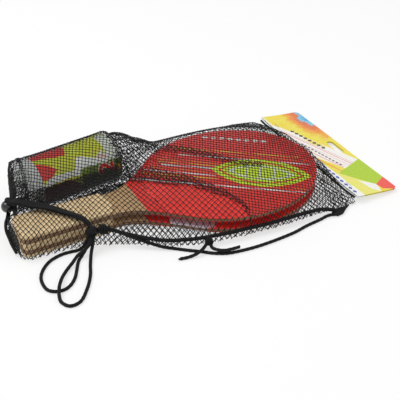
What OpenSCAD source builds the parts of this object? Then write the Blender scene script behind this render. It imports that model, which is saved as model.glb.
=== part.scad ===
// Beach bat set in a drawstring net bag: two stacked plywood bats, a tube of
// two shuttles, a folded header card and the bag with its cords.
// X runs along the bats from the mouth of the bag to the card, Z is up.
// The bag lies on the plane Z = 0.

/* [Bats] */
// Length of the blade from its centre to its tip
blade_a = 113; // [105:1:116]
// Half width of the blade
blade_b = 98.5; // [85:0.5:99]
// Distance from the blade's centre to the end of the handle
handle_l = 270.5; // [256:0.5:270.5]
// Width of the handle at its free end
handle_w = 48; // [40:1:48]
// Width of the handle where it meets the neck
neck_w = 43; // [36:1:44]
// Thickness of the plywood core
core_t = 6; // [5:0.5:6]
// Thickness of one grip scale
scale_t = 4; // [3:0.5:4]
// Length of a grip scale
scale_l = 112; // [90:1:116]

/* [Tube] */
// Outer radius of the tube's wall
tube_r = 30; // [28:0.5:30]
// Thickness of the tube's wall
tube_wall_t = 0.8; // [0.6:0.1:1]
// Length of the tube with its lid on
tube_l = 117; // [114:1:117]
// Depth of the lid's rim
lid_h = 11; // [8:1:12]

/* [Shuttles] */
// Radius of a shuttle's nose
nose_r = 13.5; // [12:0.5:13.5]
// Radius of the open end of a shuttle's skirt
skirt_r = 26; // [25:0.2:27]
// Length of a shuttle's skirt
skirt_l = 52; // [48:1:53]
// Step from one nested shuttle to the next
nest_step = 24.5; // [24.5:0.5:26]

/* [Card] */
// Length of the header card along the end of the bag
card_w = 226; // [210:1:226]
// Depth of the folded header card
card_h = 63; // [55:1:66]
// Thickness of one layer of the card
card_t = 0.6; // [0.4:0.1:0.8]
// Slope of the card down to its folded edge, in degrees
card_tilt = 5; // [0:1:5]
// Length of the hanging slot
slot_l = 32; // [28:1:34]
// Width of the hanging slot
slot_w = 10; // [8:0.5:11]

/* [Bag] */
// Thickness of the knitted net
net_t = 1; // [0.8:0.1:1.2]
// Diameter of the carry cord and of the drawstring
cord_d = 4; // [3.5:0.1:4]
// Diameter of the piped side seam
seam_d = 4.6; // [4:0.1:5]
// Diameter of the cord bead at the mouth
bead_d = 15; // [13:0.5:15]

/* [Hidden] */
$fn = 64;
gap = 0.4;

// The blade's centre lies here in the frame of the whole set
blade_at = [48.2, -15.5, 0];

// Heights of the stacked bats
lower_z = net_t + gap;
bat_t = core_t + 2 * scale_t;
upper_z = lower_z + bat_t + 0.3;
blade_top = upper_z + scale_t + core_t;
handle_top = upper_z + bat_t;

// Half width of a bat at x: handle, neck curve and elliptical blade
neck_x0 = -158;
neck_x1 = -80;
function blade_y(x) = blade_b * sqrt(max(0, 1 - pow(x / blade_a, 2)));
function blade_slope(x) = -blade_b * blade_b * x / (blade_a * blade_a * blade_y(x));
handle_slope = (neck_w - handle_w) / 2 / (neck_x0 + handle_l);
function handle_y(x) = neck_w / 2 + handle_slope * (x - neck_x0);
function neck_y(t) = let (l = neck_x1 - neck_x0)
    (2*t*t*t - 3*t*t + 1) * neck_w / 2 + (t*t*t - 2*t*t + t) * l * handle_slope
    + (3*t*t - 2*t*t*t) * blade_y(neck_x1) + (t*t*t - t*t) * l * blade_slope(neck_x1);
function bat_y(x) = x > neck_x1 ? blade_y(x)
    : x > neck_x0 ? neck_y((x - neck_x0) / (neck_x1 - neck_x0)) : handle_y(x);

// The tube's axis: its lidded end, its direction and its height
tube_at = [-237, 71.5];
tube_turn = 9;
lid_wall = 1;
lid_r = tube_r + 0.45 + lid_wall;
tube_z = net_t + gap + lid_r;
function tube_y(x) = tube_at[1] + (x - tube_at[0]) * tan(tube_turn);
tube_x1 = tube_at[0] + tube_l * cos(tube_turn);

// The card's hinge line and its middle
hinge_x = 120.3;
hinge_z = 9.5;
card_y = 8.5;
slot_y = 3.5;
slot_x = 51;

// Routes of the cords, measured from the blade's centre
seam_route = [[84, -109, 6], [70, -106, 10], [48, -105, 12], [22, -104, 12], [-4, -103, 12],
    [-28, -100, 12], [-50, -98, 12], [-70, -94.5, 12], [-88, -91, 12], [-106, -85, 12],
    [-122, -78, 12], [-136, -69, 13], [-150, -59, 15], [-163, -50, 18], [-172, -43.5, 20.5],
    [-179, -40, 22]];
carry_route = [[84, -114, 3], [75, -111, 2.5], [61, -113, 2], [40, -116, 2], [22, -120, 2],
    [3, -122, 2], [-16, -123, 2], [-34, -123, 2], [-54, -121, 2], [-68, -118, 2],
    [-81, -111, 2], [-92, -102, 2], [-104, -93, 2], [-115, -84, 2], [-127, -77, 4],
    [-139, -69, 8], [-150, -61.5, 12.5], [-160, -54, 16.5], [-169, -47, 20.5], [-178.5, -41, 23.5]];
tail_left_route = [[-82, -97, 7], [-87, -101, 6.2], [-93, -105, 6.2], [-101, -105.5, 3.5],
    [-110, -104.5, 2], [-118, -103, 2]];
tail_right_route = [[-78.5, -100, 6], [-80, -106, 6.2], [-77, -112, 6.2], [-70, -117, 6.2],
    [-62, -118.5, 6.2], [-54, -119, 6.2]];
over_route = [[-261.5, 39.5, 37.5], [-257, 35, 39], [-252.5, 30.3, 39.2], [-247.5, 25.4, 38.6],
    [-236, 18.2, 36.6], [-223, 6, 35.2], [-211, -9, 35], [-203.5, -20.5, 35], [-200.5, -25.8, 34.6],
    [-197.5, -31, 31.6], [-196, -34.5, 27.5]];
under_route = [[-264, 43.2, 39.8], [-265.6, 45.4, 39], [-266.4, 46.6, 36.5], [-266.4, 46.6, 28],
    [-266.4, 46.6, 20], [-268.2, 43, 18.5], [-271.5, 36, 18], [-274.8, 29.5, 17.3], [-277, 22, 15.5],
    [-277.5, 11, 11.5], [-277.5, -2, 7.8], [-276.8, -13, 5]];
loop_left_route = [[-198.5, -40, 21.5], [-203, -40, 15], [-207, -39, 8], [-213, -37, 3], [-222, -35, 2],
    [-232, -35, 2], [-247, -40, 2], [-258, -50, 2], [-265, -62, 2], [-267, -75, 2], [-265, -86, 2],
    [-258, -92, 2], [-249, -93, 2], [-241, -89, 2], [-233, -80, 2], [-226, -67, 2], [-219, -54, 2],
    [-211, -47, 4], [-204, -44, 11], [-198.5, -41, 19]];
loop_right_route = [[-197.5, -41, 20], [-202, -46, 14], [-209, -47, 8.6], [-218, -50, 6.4],
    [-227, -57, 4.5], [-236, -64, 3], [-244, -73, 3.5], [-250, -83, 5.5], [-254.5, -92, 6.4],
    [-258, -101, 4], [-259, -110, 2], [-253, -120, 2], [-242, -119, 2], [-228, -103, 2],
    [-217, -84, 2], [-210, -66, 2], [-203, -51, 5], [-198, -45, 13], [-195.5, -42, 21]];

// Foot line of the bag: x, nearer edge, farther edge
foot = [[-274.5, -22, 24], [-270.5, -25.2, 28], [-266.5, -26.7, 33], [-260, -26.8, 38],
    [-257, -26.9, 64], [-254, -27, 82], [-248, -27.1, 98], [-240, -27.4, 104], [-205, -30.5, 122],
    [-175, -43, 132], [-150, -55, 138], [-122, -75, 143], [-96, -86, 147], [-70, -92.5, 148],
    [-40, -97, 145], [0, -101, 141], [40, -102, 138], [76, -102, 134], [100, -102, 130],
    [112, -103, 127], [117, -104, 124], [119.5, -104, 122]];
near_y = [for (f = foot) [f[0], f[1]]];
far_y = [for (f = foot) [f[0], f[2]]];

// Line along the nearer side where the seam and the drawstring pull the net out
crease = concat([[-274.5, -22.6, 12], [-270.5, -25.9, 12], [-266.5, -27.5, 12],
        [-240, -28.8, 13], [-215, -32.5, 15], [-196, -34.5, 18]],
    [for (i = [len(seam_route)-1:-1:1]) seam_route[i] + [0, 1.2, 0]],
    [[84, -104.6, 7], [119.5, -105, 6]]);
crease_y = [for (c = crease) [c[0], c[1]]];
crease_z = [for (c = crease) [c[0], c[2]]];

// Cross-section of the draped net at x, from the nearer foot over to the farther
function part(x, x0, x1) = min(1, max(0, (x - x0) / (x1 - x0)));
function smooth(t) = t * t * (3 - 2 * t);
function top_z(x) = let (over_grip = handle_top + gap + net_t, over_blade = blade_top + 0.6 + net_t)
    over_grip + (over_blade - over_grip) * smooth(part(x, -150, -126))
    - (over_blade - 11) * smooth(part(x, 117, 119.5));
function tube_share(x) = smooth(part(x, -260, -248)) * (1 - smooth(part(x, tube_x1, -40)));
arc_r = lid_r + 4 + net_t;
arc = [165, 140, 115, 90, 65, 40, 15, -10];
function mix(a, b, t) = a * (1 - t) + b * t;
// Half width that the bats need at x as they slide to and fro in the bag
bat_play = [-2, 3];
mouth_x = -273.4;
function butt_in(x) = 5 * pow(part(-x, 267, -mouth_x), 1.5);
function reach_y(x) = max(bat_y(x - bat_play[0]), bat_y(x - bat_play[1])) + 1.8 - butt_in(x);
function section(x) = let (
        yn = lookup(x, near_y), yf = lookup(x, far_y), zt = top_z(x), bf = reach_y(min(x, 108)),
        yc = lookup(x, crease_y), zc = lookup(x, crease_z),
        bn = max(-bf, yn - 1), w = tube_share(x), n = len(arc))
    concat([[yn, net_t], [mix(yn, yc, 0.7), mix(net_t, zc, 0.4)], [yc, zc], [bn, zt], [0, zt],
        [bf, zt]],
        [for (i = [0:n-1]) let (t = (i + 0.6) / (n + 0.3))
            mix([mix(bf, yf, t), mix(zt, net_t + 1, pow(t, 1.3))],
                [tube_y(x) + arc_r * cos(arc[i]), tube_z + arc_r * sin(arc[i])], w)],
        [[yf, net_t]]);
function unit(v) = v / norm(v);
// Points of the inner face, one net thickness inside the outer ones
function inward(s) = [for (i = [0:len(s)-1]) let (
        d = unit(s[min(i + 1, len(s) - 1)] - s[max(i - 1, 0)]))
    i == 0 ? s[0] + [net_t, 0] : i == len(s) - 1 ? s[i] - [net_t, 0] : s[i] + net_t * [d[1], -d[0]]];

// Thin shell through the sections at the given stations, from one section point to another
grip_side = [0, 5];
tube_side = [5, len(arc) + 6];
whole = [0, len(arc) + 6];
function stretch(s, span) = [for (i = [span[0]:span[1]]) s[i]];
module net_shell(stations, span = whole) {
    outer = [for (x = stations) section(x)];
    loops = [for (s = outer) concat(stretch(s, span), stretch(inward(s), span))];
    n = span[1] - span[0] + 1;
    m = len(stations) - 1;
    ring = concat([for (i = [0:n-1]) i], [for (i = [n-1:-1:0]) n + i]);
    k = 2 * n;
    points = [for (j = [0:m], p = loops[j]) [stations[j], p[0], p[1]]];
    sides = [for (j = [0:m-1], i = [0:k-1]) let (
            a = j * k + ring[i], b = j * k + ring[(i + 1) % k], c = b + k, d = a + k)
        each [[a, b, c], [a, c, d]]];
    ends = [for (i = [0:n-2]) each [[i, n + i, n + i + 1], [i, n + i + 1, i + 1]]];
    last = [for (f = ends) [for (v = [2:-1:0]) m * k + f[v]]];
    polyhedron(points, concat(sides, ends, last), convexity = 6);
}

// Tube along a route, one ring of sides at each point
function cross_unit(a, b) = unit(cross(a, b));
module cord(route, d, ref = [0, 0, 1], sides = 8) {
    n = len(route);
    points = [for (i = [0:n-1]) let (
            t = unit(route[min(i + 1, n - 1)] - route[max(i - 1, 0)]),
            u = cross_unit(ref, t), v = cross(t, u))
        for (k = [0:sides-1]) let (a = 360 * (k + 0.5) / sides)
            route[i] + d / 2 * (u * cos(a) + v * sin(a))];
    faces = [for (i = [0:n-2], k = [0:sides-1]) let (
            a = i * sides + k, b = i * sides + (k + 1) % sides, c = b + sides, e = a + sides)
        each [[a, c, b], [a, e, c]]];
    caps = [[for (k = [0:sides-1]) k], [for (k = [sides-1:-1:0]) (n - 1) * sides + k]];
    polyhedron(points, concat(faces, caps), convexity = 6);
}

// Everything is placed from the blade's centre
module placed() {
    translate(blade_at) children();
}

module bag_net_bottom() {
    color([0.08, 0.08, 0.09, 0.6]) placed() linear_extrude(net_t)
        polygon(concat([for (f = foot) [f[0], f[1]]],
            [for (i = [len(foot)-1:-1:0]) [foot[i][0], foot[i][2]]]));
}

module bag_net_top() {
    color([0.08, 0.08, 0.09, 0.5]) placed()
        net_shell([-40, -20, 0, 20, 40, 58, 76, 90, 100, 107, 112, 117, 119.5]);
}

// Net over the handles and necks, from the mouth to the blades
module bag_net_grips() {
    color([0.08, 0.08, 0.09, 0.5]) placed()
        net_shell([mouth_x, -270.5, -267, -256, -240, -205, -175, -150, -142, -134, -126, -118,
            -108, -96, -82, -70, -55, -40], grip_side);
}

// Net round the lidded end of the tube
module bag_net_mouth() {
    color([0.08, 0.08, 0.09, 0.5]) placed()
        net_shell([mouth_x, -270.5, -267, -260, -258, -255, -252, -248], tube_side);
}

module bag_net_tube() {
    color([0.08, 0.08, 0.09, 0.5]) placed()
        net_shell([-248, -240, -205, -175, -150, -122], tube_side);
}

module bag_net_shoulder() {
    color([0.08, 0.08, 0.09, 0.5]) placed()
        net_shell([-122, -112, -100, -88, -76, -62, -50, -40], tube_side);
}

// Net across the end of the handles
module bag_net_end() {
    color([0.08, 0.08, 0.09, 0.5]) placed() translate([mouth_x - net_t, 0, 0])
        rotate([90, 0, 90]) linear_extrude(net_t) polygon(section(mouth_x));
}

// Profile of the folded card from its open edge, in X and Z
module on_hinge() {
    placed() translate([hinge_x, card_y, hinge_z]) rotate([0, card_tilt, 0]) children();
}

module net_end_flap() {
    color([0.08, 0.08, 0.09, 0.6]) on_hinge() translate([0.6, -card_w / 2 + 2, -net_t / 2])
        cube([34, card_w - 4, net_t]);
}

module card_blank() {
    color("gold") on_hinge() rotate([90, 0, 0]) linear_extrude(card_w, center = true)
        polygon([[1.2, net_t / 2 + card_t], [card_h - 0.6, net_t / 2 + card_t], [card_h, net_t / 2],
            [card_h, -net_t / 2], [card_h - 0.6, -net_t / 2 - card_t], [1.2, -net_t / 2 - card_t],
            [1.2, -net_t / 2], [card_h - 1, -net_t / 2], [card_h - 1, net_t / 2], [1.2, net_t / 2]]);
}

module header_card() {
    difference() {
        card_blank();
        on_hinge() translate([slot_x, slot_y, 0]) linear_extrude(20, center = true) euro_slot();
        on_hinge() for (s = [-1, 1]) card_corner(s);
    }
}

module euro_slot() {
    for (s = [-1, 1]) translate([0, s * (slot_l - slot_w) / 2]) circle(d = slot_w);
    square([slot_w, slot_l - slot_w], center = true);
}

corner_r = 7;
module card_corner(side) {
    translate([card_h - corner_r, side * (card_w / 2 - corner_r), 0])
        linear_extrude(20, center = true) difference() {
            translate([0, side > 0 ? 0 : -corner_r - 1]) square([corner_r + 1, corner_r + 1]);
            circle(r = corner_r);
        }
}

staple_w = 12;
staple_d = 0.6;
staple_x = 9;
module staples() {
    z = net_t / 2 + card_t + staple_d / 2;
    color("silver") on_hinge() for (y = [-84, -28, 28, 84]) translate([staple_x, y, 0]) {
        translate([0, 0, z]) rotate([90, 0, 0])
            cylinder(d = staple_d, h = staple_w, center = true, $fn = 16);
        for (s = [-1, 1]) translate([0, s * (staple_w - staple_d) / 2, -z]) {
            cylinder(d = staple_d, h = 2 * z, $fn = 16);
            rotate([90 * s, 0, 0]) cylinder(d = staple_d, h = 4, $fn = 16);
        }
    }
}

module card_end_hem() {
    color("black") placed() translate([117.6, card_y - card_w / 2 + 2, 7.6])
        cube([1.9, card_w - 6, 2.2]);
}

module corner_tab() {
    color("black") placed() translate([0, 0, net_t + 0.2]) linear_extrude(2.6)
        polygon([[84, -117], [92, -116], [106, -106.5], [110, -104.4], [86, -104.4], [80, -109]]);
}

module side_seam() {
    color("black") placed() cord(seam_route, seam_d);
}

module mouth_hem_over() {
    color("black") placed() cord(over_route, cord_d + 2.4);
}

module mouth_hem_under() {
    color("black") placed() cord(under_route, cord_d, [1, 0, 0]);
}

bead_at = [-266.4, 46.6, 28];
bead_bore = 5.4;
module mouth_bead() {
    color("#151515") placed() translate(bead_at) difference() {
        sphere(d = bead_d);
        cylinder(d = bead_bore, h = bead_d + 2, center = true);
    }
}

// A knot is a ball of cord with rings wound round it
module knot(r, turns) {
    sphere(r = r, $fn = 32);
    for (i = [0:turns-1]) rotate([90, 0, 180 * i / turns]) rotate_extrude($fn = 32)
        translate([r, 0]) circle(d = cord_d * 0.9, $fn = 20);
}

knot_at = [-196, -38, 24];
module bow_knot() {
    color("black") placed() translate(knot_at) knot(5.8, 2);
}

wrap_at = [-182.5, -38.5, 22.5];
module bow_wrap() {
    color("black") placed() translate(wrap_at) knot(4.6, 2);
}

module bow_loop_left() {
    color("black") placed() cord(loop_left_route, cord_d);
}

module bow_loop_right() {
    color("black") placed() cord(loop_right_route, cord_d);
}

module carry_cord() {
    color("black") placed() cord(carry_route, cord_d);
}

seam_knot_at = [-79, -96.5, 8.6];
module seam_knot() {
    color("black") placed() translate(seam_knot_at) knot(4.4, 2);
}

module seam_tail_left() {
    color("black") placed() cord(tail_left_route, cord_d);
}

module seam_tail_right() {
    color("black") placed() cord(tail_right_route, cord_d);
}

// One long edge of a bat from the middle of its butt to the tip of its blade
neck_steps = 22;
tip_steps = 40;
butt_r = 8;
butt_x = -handle_l + butt_r;
butt_edge = [for (i = [0:8]) let (a = 180 - 11.25 * i)
    [butt_x + butt_r * cos(a), handle_y(butt_x) - butt_r + butt_r * sin(a)]];
neck_edge = [for (i = [0:neck_steps-1]) let (x = mix(neck_x0, neck_x1, i / neck_steps)) [x, bat_y(x)]];
blade_edge = [for (i = [0:tip_steps-1]) let (a = acos(neck_x1 / blade_a) * (1 - i / tip_steps))
    [blade_a * cos(a), blade_b * sin(a)]];
bat_edge = concat(butt_edge, neck_edge, blade_edge);
function both_sides(edge, tip = []) = concat(edge, tip,
    [for (i = [len(edge)-1:-1:0]) [edge[i][0], -edge[i][1]]]);

module bat_outline() {
    polygon(both_sides(bat_edge, [[blade_a, 0]]));
}

module bat_core(z) {
    placed() translate([0, 0, z + scale_t]) linear_extrude(core_t) bat_outline();
}

// A grip scale covers the handle and ends in a shallow arch
scale_x = -handle_l + scale_l;
arch_edge = [for (i = [0:7]) let (a = 90 - 90 * i / 8)
    [scale_x - 8 + 8 * cos(a), handle_y(scale_x - 8) * sin(a)]];
module grip_scale(z) {
    placed() translate([0, 0, z]) linear_extrude(scale_t)
        polygon(both_sides(concat(butt_edge, arch_edge), [[scale_x, 0]]));
}

module upper_bat_core() {
    color("red") bat_core(upper_z);
}

module upper_bat_grip_top() {
    color("burlywood") grip_scale(upper_z + scale_t + core_t);
}

module upper_bat_grip_bottom() {
    color("burlywood") grip_scale(upper_z);
}

module lower_bat_core() {
    color("red") bat_core(lower_z);
}

module lower_bat_grip_top() {
    color("burlywood") grip_scale(lower_z + scale_t + core_t);
}

module lower_bat_grip_bottom() {
    color("burlywood") grip_scale(lower_z);
}

// Local Z runs along the tube from the lidded end
module on_tube() {
    placed() translate([tube_at[0], tube_at[1], tube_z]) rotate([0, 0, tube_turn])
        rotate([0, 90, 0]) children();
}

module ring(r_out, r_in, h) {
    difference() {
        cylinder(r = r_out, h = h);
        translate([0, 0, -1]) cylinder(r = r_in, h = h + 2);
    }
}

tube_start = 1.2;
base_t = 1.2;
module tube_wall() {
    color("whitesmoke") on_tube() translate([0, 0, tube_start])
        ring(tube_r, tube_r - tube_wall_t, tube_l - tube_start);
}

module tube_base() {
    color("silver") on_tube() translate([0, 0, tube_l - 7]) {
        translate([0, 0, 7 - base_t - 1]) cylinder(r = tube_r - tube_wall_t, h = base_t);
        ring(tube_r - tube_wall_t, tube_r - tube_wall_t - 0.5, 7 - 1);
    }
}

label_t = 0.4;
module tube_label() {
    color("yellowgreen") on_tube() translate([0, 0, lid_h + 1])
        ring(tube_r + label_t, tube_r, tube_l - lid_h - 1.5);
}

module tube_lid() {
    color("lightcyan") on_tube() difference() {
        cylinder(r = lid_r, h = lid_h);
        translate([0, 0, 1]) cylinder(r = tube_r + 0.05, h = lid_h);
    }
}

// Shuttles: local Z runs from the skirt's open end to the nose
nose_l = 20;
shuttle_l = skirt_l + nose_l;
front_at = tube_l - base_t - 1.6 - shuttle_l;
module on_shuttle(index) {
    on_tube() translate([0, 0, front_at - index * nest_step]) children();
}

band_r = nose_r + 0.6;
module shuttle_nose(index) {
    r = nose_r;
    color("white") on_shuttle(index) translate([0, 0, skirt_l - 3]) rotate_extrude() intersection() {
        union() {
            square([r, nose_l + 3 - r]);
            translate([0, nose_l + 3 - r]) circle(r = r);
        }
        square([r, nose_l + 3]);
    }
}

module shuttle_band(index) {
    color("red") on_shuttle(index) translate([0, 0, skirt_l + 1]) ring(band_r + 0.4, nose_r, 5);
}

ribs = 12;
skirt_t = 0.8;
module shuttle_skirt(index) {
    color("greenyellow") on_shuttle(index) difference() {
        rotate_extrude() polygon([[skirt_r - skirt_t, 0], [skirt_r, 0], [band_r + 0.4, skirt_l],
            [nose_r, skirt_l], [nose_r, skirt_l - 3], [band_r - 0.2, skirt_l - 5]]);
        for (i = [0:ribs / 2 - 1]) rotate([0, 0, 360 / ribs * i]) {
            translate([-40, -3.6, 5]) cube([80, 7.2, 14]);
            translate([-40, -2.6, 23]) cube([80, 5.2, 14]);
        }
    }
}

module front_shuttle_nose() {
    shuttle_nose(0);
}

module front_shuttle_band() {
    shuttle_band(0);
}

module front_shuttle_skirt() {
    shuttle_skirt(0);
}

module rear_shuttle_nose() {
    shuttle_nose(1);
}

module rear_shuttle_band() {
    shuttle_band(1);
}

module rear_shuttle_skirt() {
    shuttle_skirt(1);
}

bag_net_bottom();
bag_net_top();
bag_net_grips();
bag_net_mouth();
bag_net_tube();
bag_net_shoulder();
bag_net_end();
net_end_flap();
card_end_hem();
corner_tab();
side_seam();
mouth_hem_over();
mouth_hem_under();
mouth_bead();
bow_knot();
bow_wrap();
bow_loop_left();
bow_loop_right();
carry_cord();
seam_knot();
seam_tail_left();
seam_tail_right();
header_card();
staples();
upper_bat_core();
upper_bat_grip_top();
upper_bat_grip_bottom();
lower_bat_core();
lower_bat_grip_top();
lower_bat_grip_bottom();
tube_wall();
tube_base();
tube_label();
tube_lid();
front_shuttle_nose();
front_shuttle_band();
front_shuttle_skirt();
rear_shuttle_nose();
rear_shuttle_band();
rear_shuttle_skirt();
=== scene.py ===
"""Looks of the beach bat set in its net bag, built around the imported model."""
import math
import random

import bmesh
import bpy
import numpy as np
from mathutils import Matrix, Vector, noise
from mathutils.bvhtree import BVHTree


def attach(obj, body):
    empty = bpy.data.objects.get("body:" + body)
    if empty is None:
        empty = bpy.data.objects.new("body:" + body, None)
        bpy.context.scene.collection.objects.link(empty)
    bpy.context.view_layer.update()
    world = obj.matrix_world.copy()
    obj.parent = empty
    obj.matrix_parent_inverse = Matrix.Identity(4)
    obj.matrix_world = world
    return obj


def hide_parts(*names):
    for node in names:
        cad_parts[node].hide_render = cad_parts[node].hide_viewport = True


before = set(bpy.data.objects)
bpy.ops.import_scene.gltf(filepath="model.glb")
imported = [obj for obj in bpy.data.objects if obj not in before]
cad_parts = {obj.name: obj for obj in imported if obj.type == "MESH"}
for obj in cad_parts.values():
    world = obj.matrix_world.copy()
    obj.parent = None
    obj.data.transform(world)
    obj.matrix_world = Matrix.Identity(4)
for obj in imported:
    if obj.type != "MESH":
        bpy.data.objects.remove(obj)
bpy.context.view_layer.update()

AT = np.array([48.2, -15.5, 0.0])     # the blade's centre in the row frame, in mm
MM = 0.001
TUBE_AT, TUBE_TURN = np.array([-237, 71.5, 32.85]), 9     # middle of its lidded end; degrees from the X axis


def row(points):
    """Points measured from the blade's centre in mm, in the row frame in metres."""
    return (np.asarray(points, float) + AT) * MM


# ---------------------------------------------------------------- mesh tools

def make_mesh(name, verts, faces, materials, smooth=True):
    mesh = bpy.data.meshes.new(name)
    mesh.from_pydata(np.asarray(verts).tolist(), [], [list(f) for f in faces])
    mesh.update()
    for m in materials:
        mesh.materials.append(m)
    if smooth:
        mesh.polygons.foreach_set("use_smooth", [True] * len(mesh.polygons))
    obj = bpy.data.objects.new(name, mesh)
    bpy.context.scene.collection.objects.link(obj)
    return obj


def settle(obj, body, slot, *nodes):
    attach(obj, body)
    if nodes:
        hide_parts(*nodes)
    return obj


def unit(v):
    v = np.asarray(v, float)
    return v / np.maximum(np.linalg.norm(v, axis=-1, keepdims=True), 1e-12)


def curve_through(points, step):
    """A smooth line through the points (centripetal Catmull-Rom), with points evenly step apart."""
    p = np.asarray(points, float)
    p = np.vstack([2 * p[0] - p[1], p, 2 * p[-1] - p[-2]])
    fine = []
    for i in range(1, len(p) - 2):
        p0, p1, p2, p3 = p[i - 1:i + 3]
        t0 = 0.0
        t1 = t0 + max(np.linalg.norm(p1 - p0), 1e-6) ** 0.5
        t2 = t1 + max(np.linalg.norm(p2 - p1), 1e-6) ** 0.5
        t3 = t2 + max(np.linalg.norm(p3 - p2), 1e-6) ** 0.5
        t = np.linspace(t1, t2, 24, endpoint=False)[:, None]
        a1 = (t1 - t) / (t1 - t0) * p0 + (t - t0) / (t1 - t0) * p1
        a2 = (t2 - t) / (t2 - t1) * p1 + (t - t1) / (t2 - t1) * p2
        a3 = (t3 - t) / (t3 - t2) * p2 + (t - t2) / (t3 - t2) * p3
        b1 = (t2 - t) / (t2 - t0) * a1 + (t - t0) / (t2 - t0) * a2
        b2 = (t3 - t) / (t3 - t1) * a2 + (t - t1) / (t3 - t1) * a3
        fine.append((t2 - t) / (t2 - t1) * b1 + (t - t1) / (t2 - t1) * b2)
    fine = np.vstack(fine + [p[-2:-1]])
    return evenly(fine, step)


def way_along(line):
    return np.concatenate([[0], np.cumsum(np.linalg.norm(np.diff(line, axis=0), axis=1))])


def evenly(line, step):
    s = way_along(line)
    n = max(2, int(round(s[-1] / step)) + 1)
    at = np.linspace(0, s[-1], n)
    return np.stack([np.interp(at, s, line[:, k]) for k in range(3)], 1)


def frames_along(line, closed=False):
    """Unit tangent, side and up at each point, carried along without twist."""
    if closed:
        t = unit(np.roll(line, -1, 0) - np.roll(line, 1, 0))
    else:
        t = unit(np.gradient(line, axis=0))
    up = np.array([0, 0, 1.0]) if abs(t[0, 2]) < 0.9 else np.array([1.0, 0, 0])
    ups = []
    for d in t:
        up = unit(up - d * (up @ d))
        ups.append(up)
    ups = np.array(ups)
    if closed:                         # spreads the leftover twist over the loop
        side = np.cross(t[0], ups[0])
        turn = math.atan2(ups[-1] @ side, ups[-1] @ ups[0])
        a = -turn * np.arange(len(line)) / len(line)
        sides = np.cross(t, ups)
        ups = ups * np.cos(a)[:, None] + sides * np.sin(a)[:, None]
    return t, np.cross(t, ups), ups


def rings_faces(n, sides, closed=False, offset=0):
    faces = []
    for i in range(n if closed else n - 1):
        a, b = offset + i * sides, offset + ((i + 1) % n) * sides
        for k in range(sides):
            m = (k + 1) % sides
            faces.append((a + k, a + m, b + m, b + k))
    if not closed:
        faces.append(tuple(offset + k for k in reversed(range(sides))))
        faces.append(tuple(offset + (n - 1) * sides + k for k in range(sides)))
    return faces


def tube_rings(line, radius, sides=12, relief=None, closed=False, flat=1.0):
    """Rings of a tube along a line in mm; relief(s, angle) scales the radius."""
    t, side, up = frames_along(line, closed)
    s = way_along(line)
    ang = 2 * np.pi * np.arange(sides) / sides
    r = np.broadcast_to(np.asarray(radius, float).reshape(-1, 1), (len(line), sides)).copy()
    if relief is not None:
        r *= relief(s[:, None], ang[None, :])
    return (line[:, None, :] + side[:, None, :] * (r * np.cos(ang))[:, :, None]
            + up[:, None, :] * (r * flat * np.sin(ang))[:, :, None]).reshape(-1, 3)


def tubes(name, parts, materials):
    """One mesh of several tubes. Each part is (line, radius, options)."""
    verts, faces, count = [], [], 0
    for line, radius, opt in parts:
        sides = opt.get("sides", 12)
        ring = tube_rings(line, radius, sides, opt.get("relief"), opt.get("closed", False),
                          opt.get("flat", 1.0))
        ring[:, 2] = np.maximum(ring[:, 2], 0.03)
        verts.append(ring)
        faces += rings_faces(len(line), sides, opt.get("closed", False), count)
        count += len(ring)
    return make_mesh(name, row(np.vstack(verts)), faces, materials)


def braid(strands, pitch, depth):
    """Relief of a round braid: two opposite families of strands."""
    def relief(s, a):
        w = 2 * np.pi * s / pitch
        one = np.cos(strands * a + w)
        two = np.cos(strands * a - w)
        return 1 - depth + depth * np.maximum(one, two)
    return relief


def twist(strands, pitch, depth):
    def relief(s, a):
        return 1 - depth + depth * np.abs(np.cos(strands / 2 * a + np.pi * s / pitch))
    return relief


# ---------------------------------------------------------------- node tools

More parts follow.
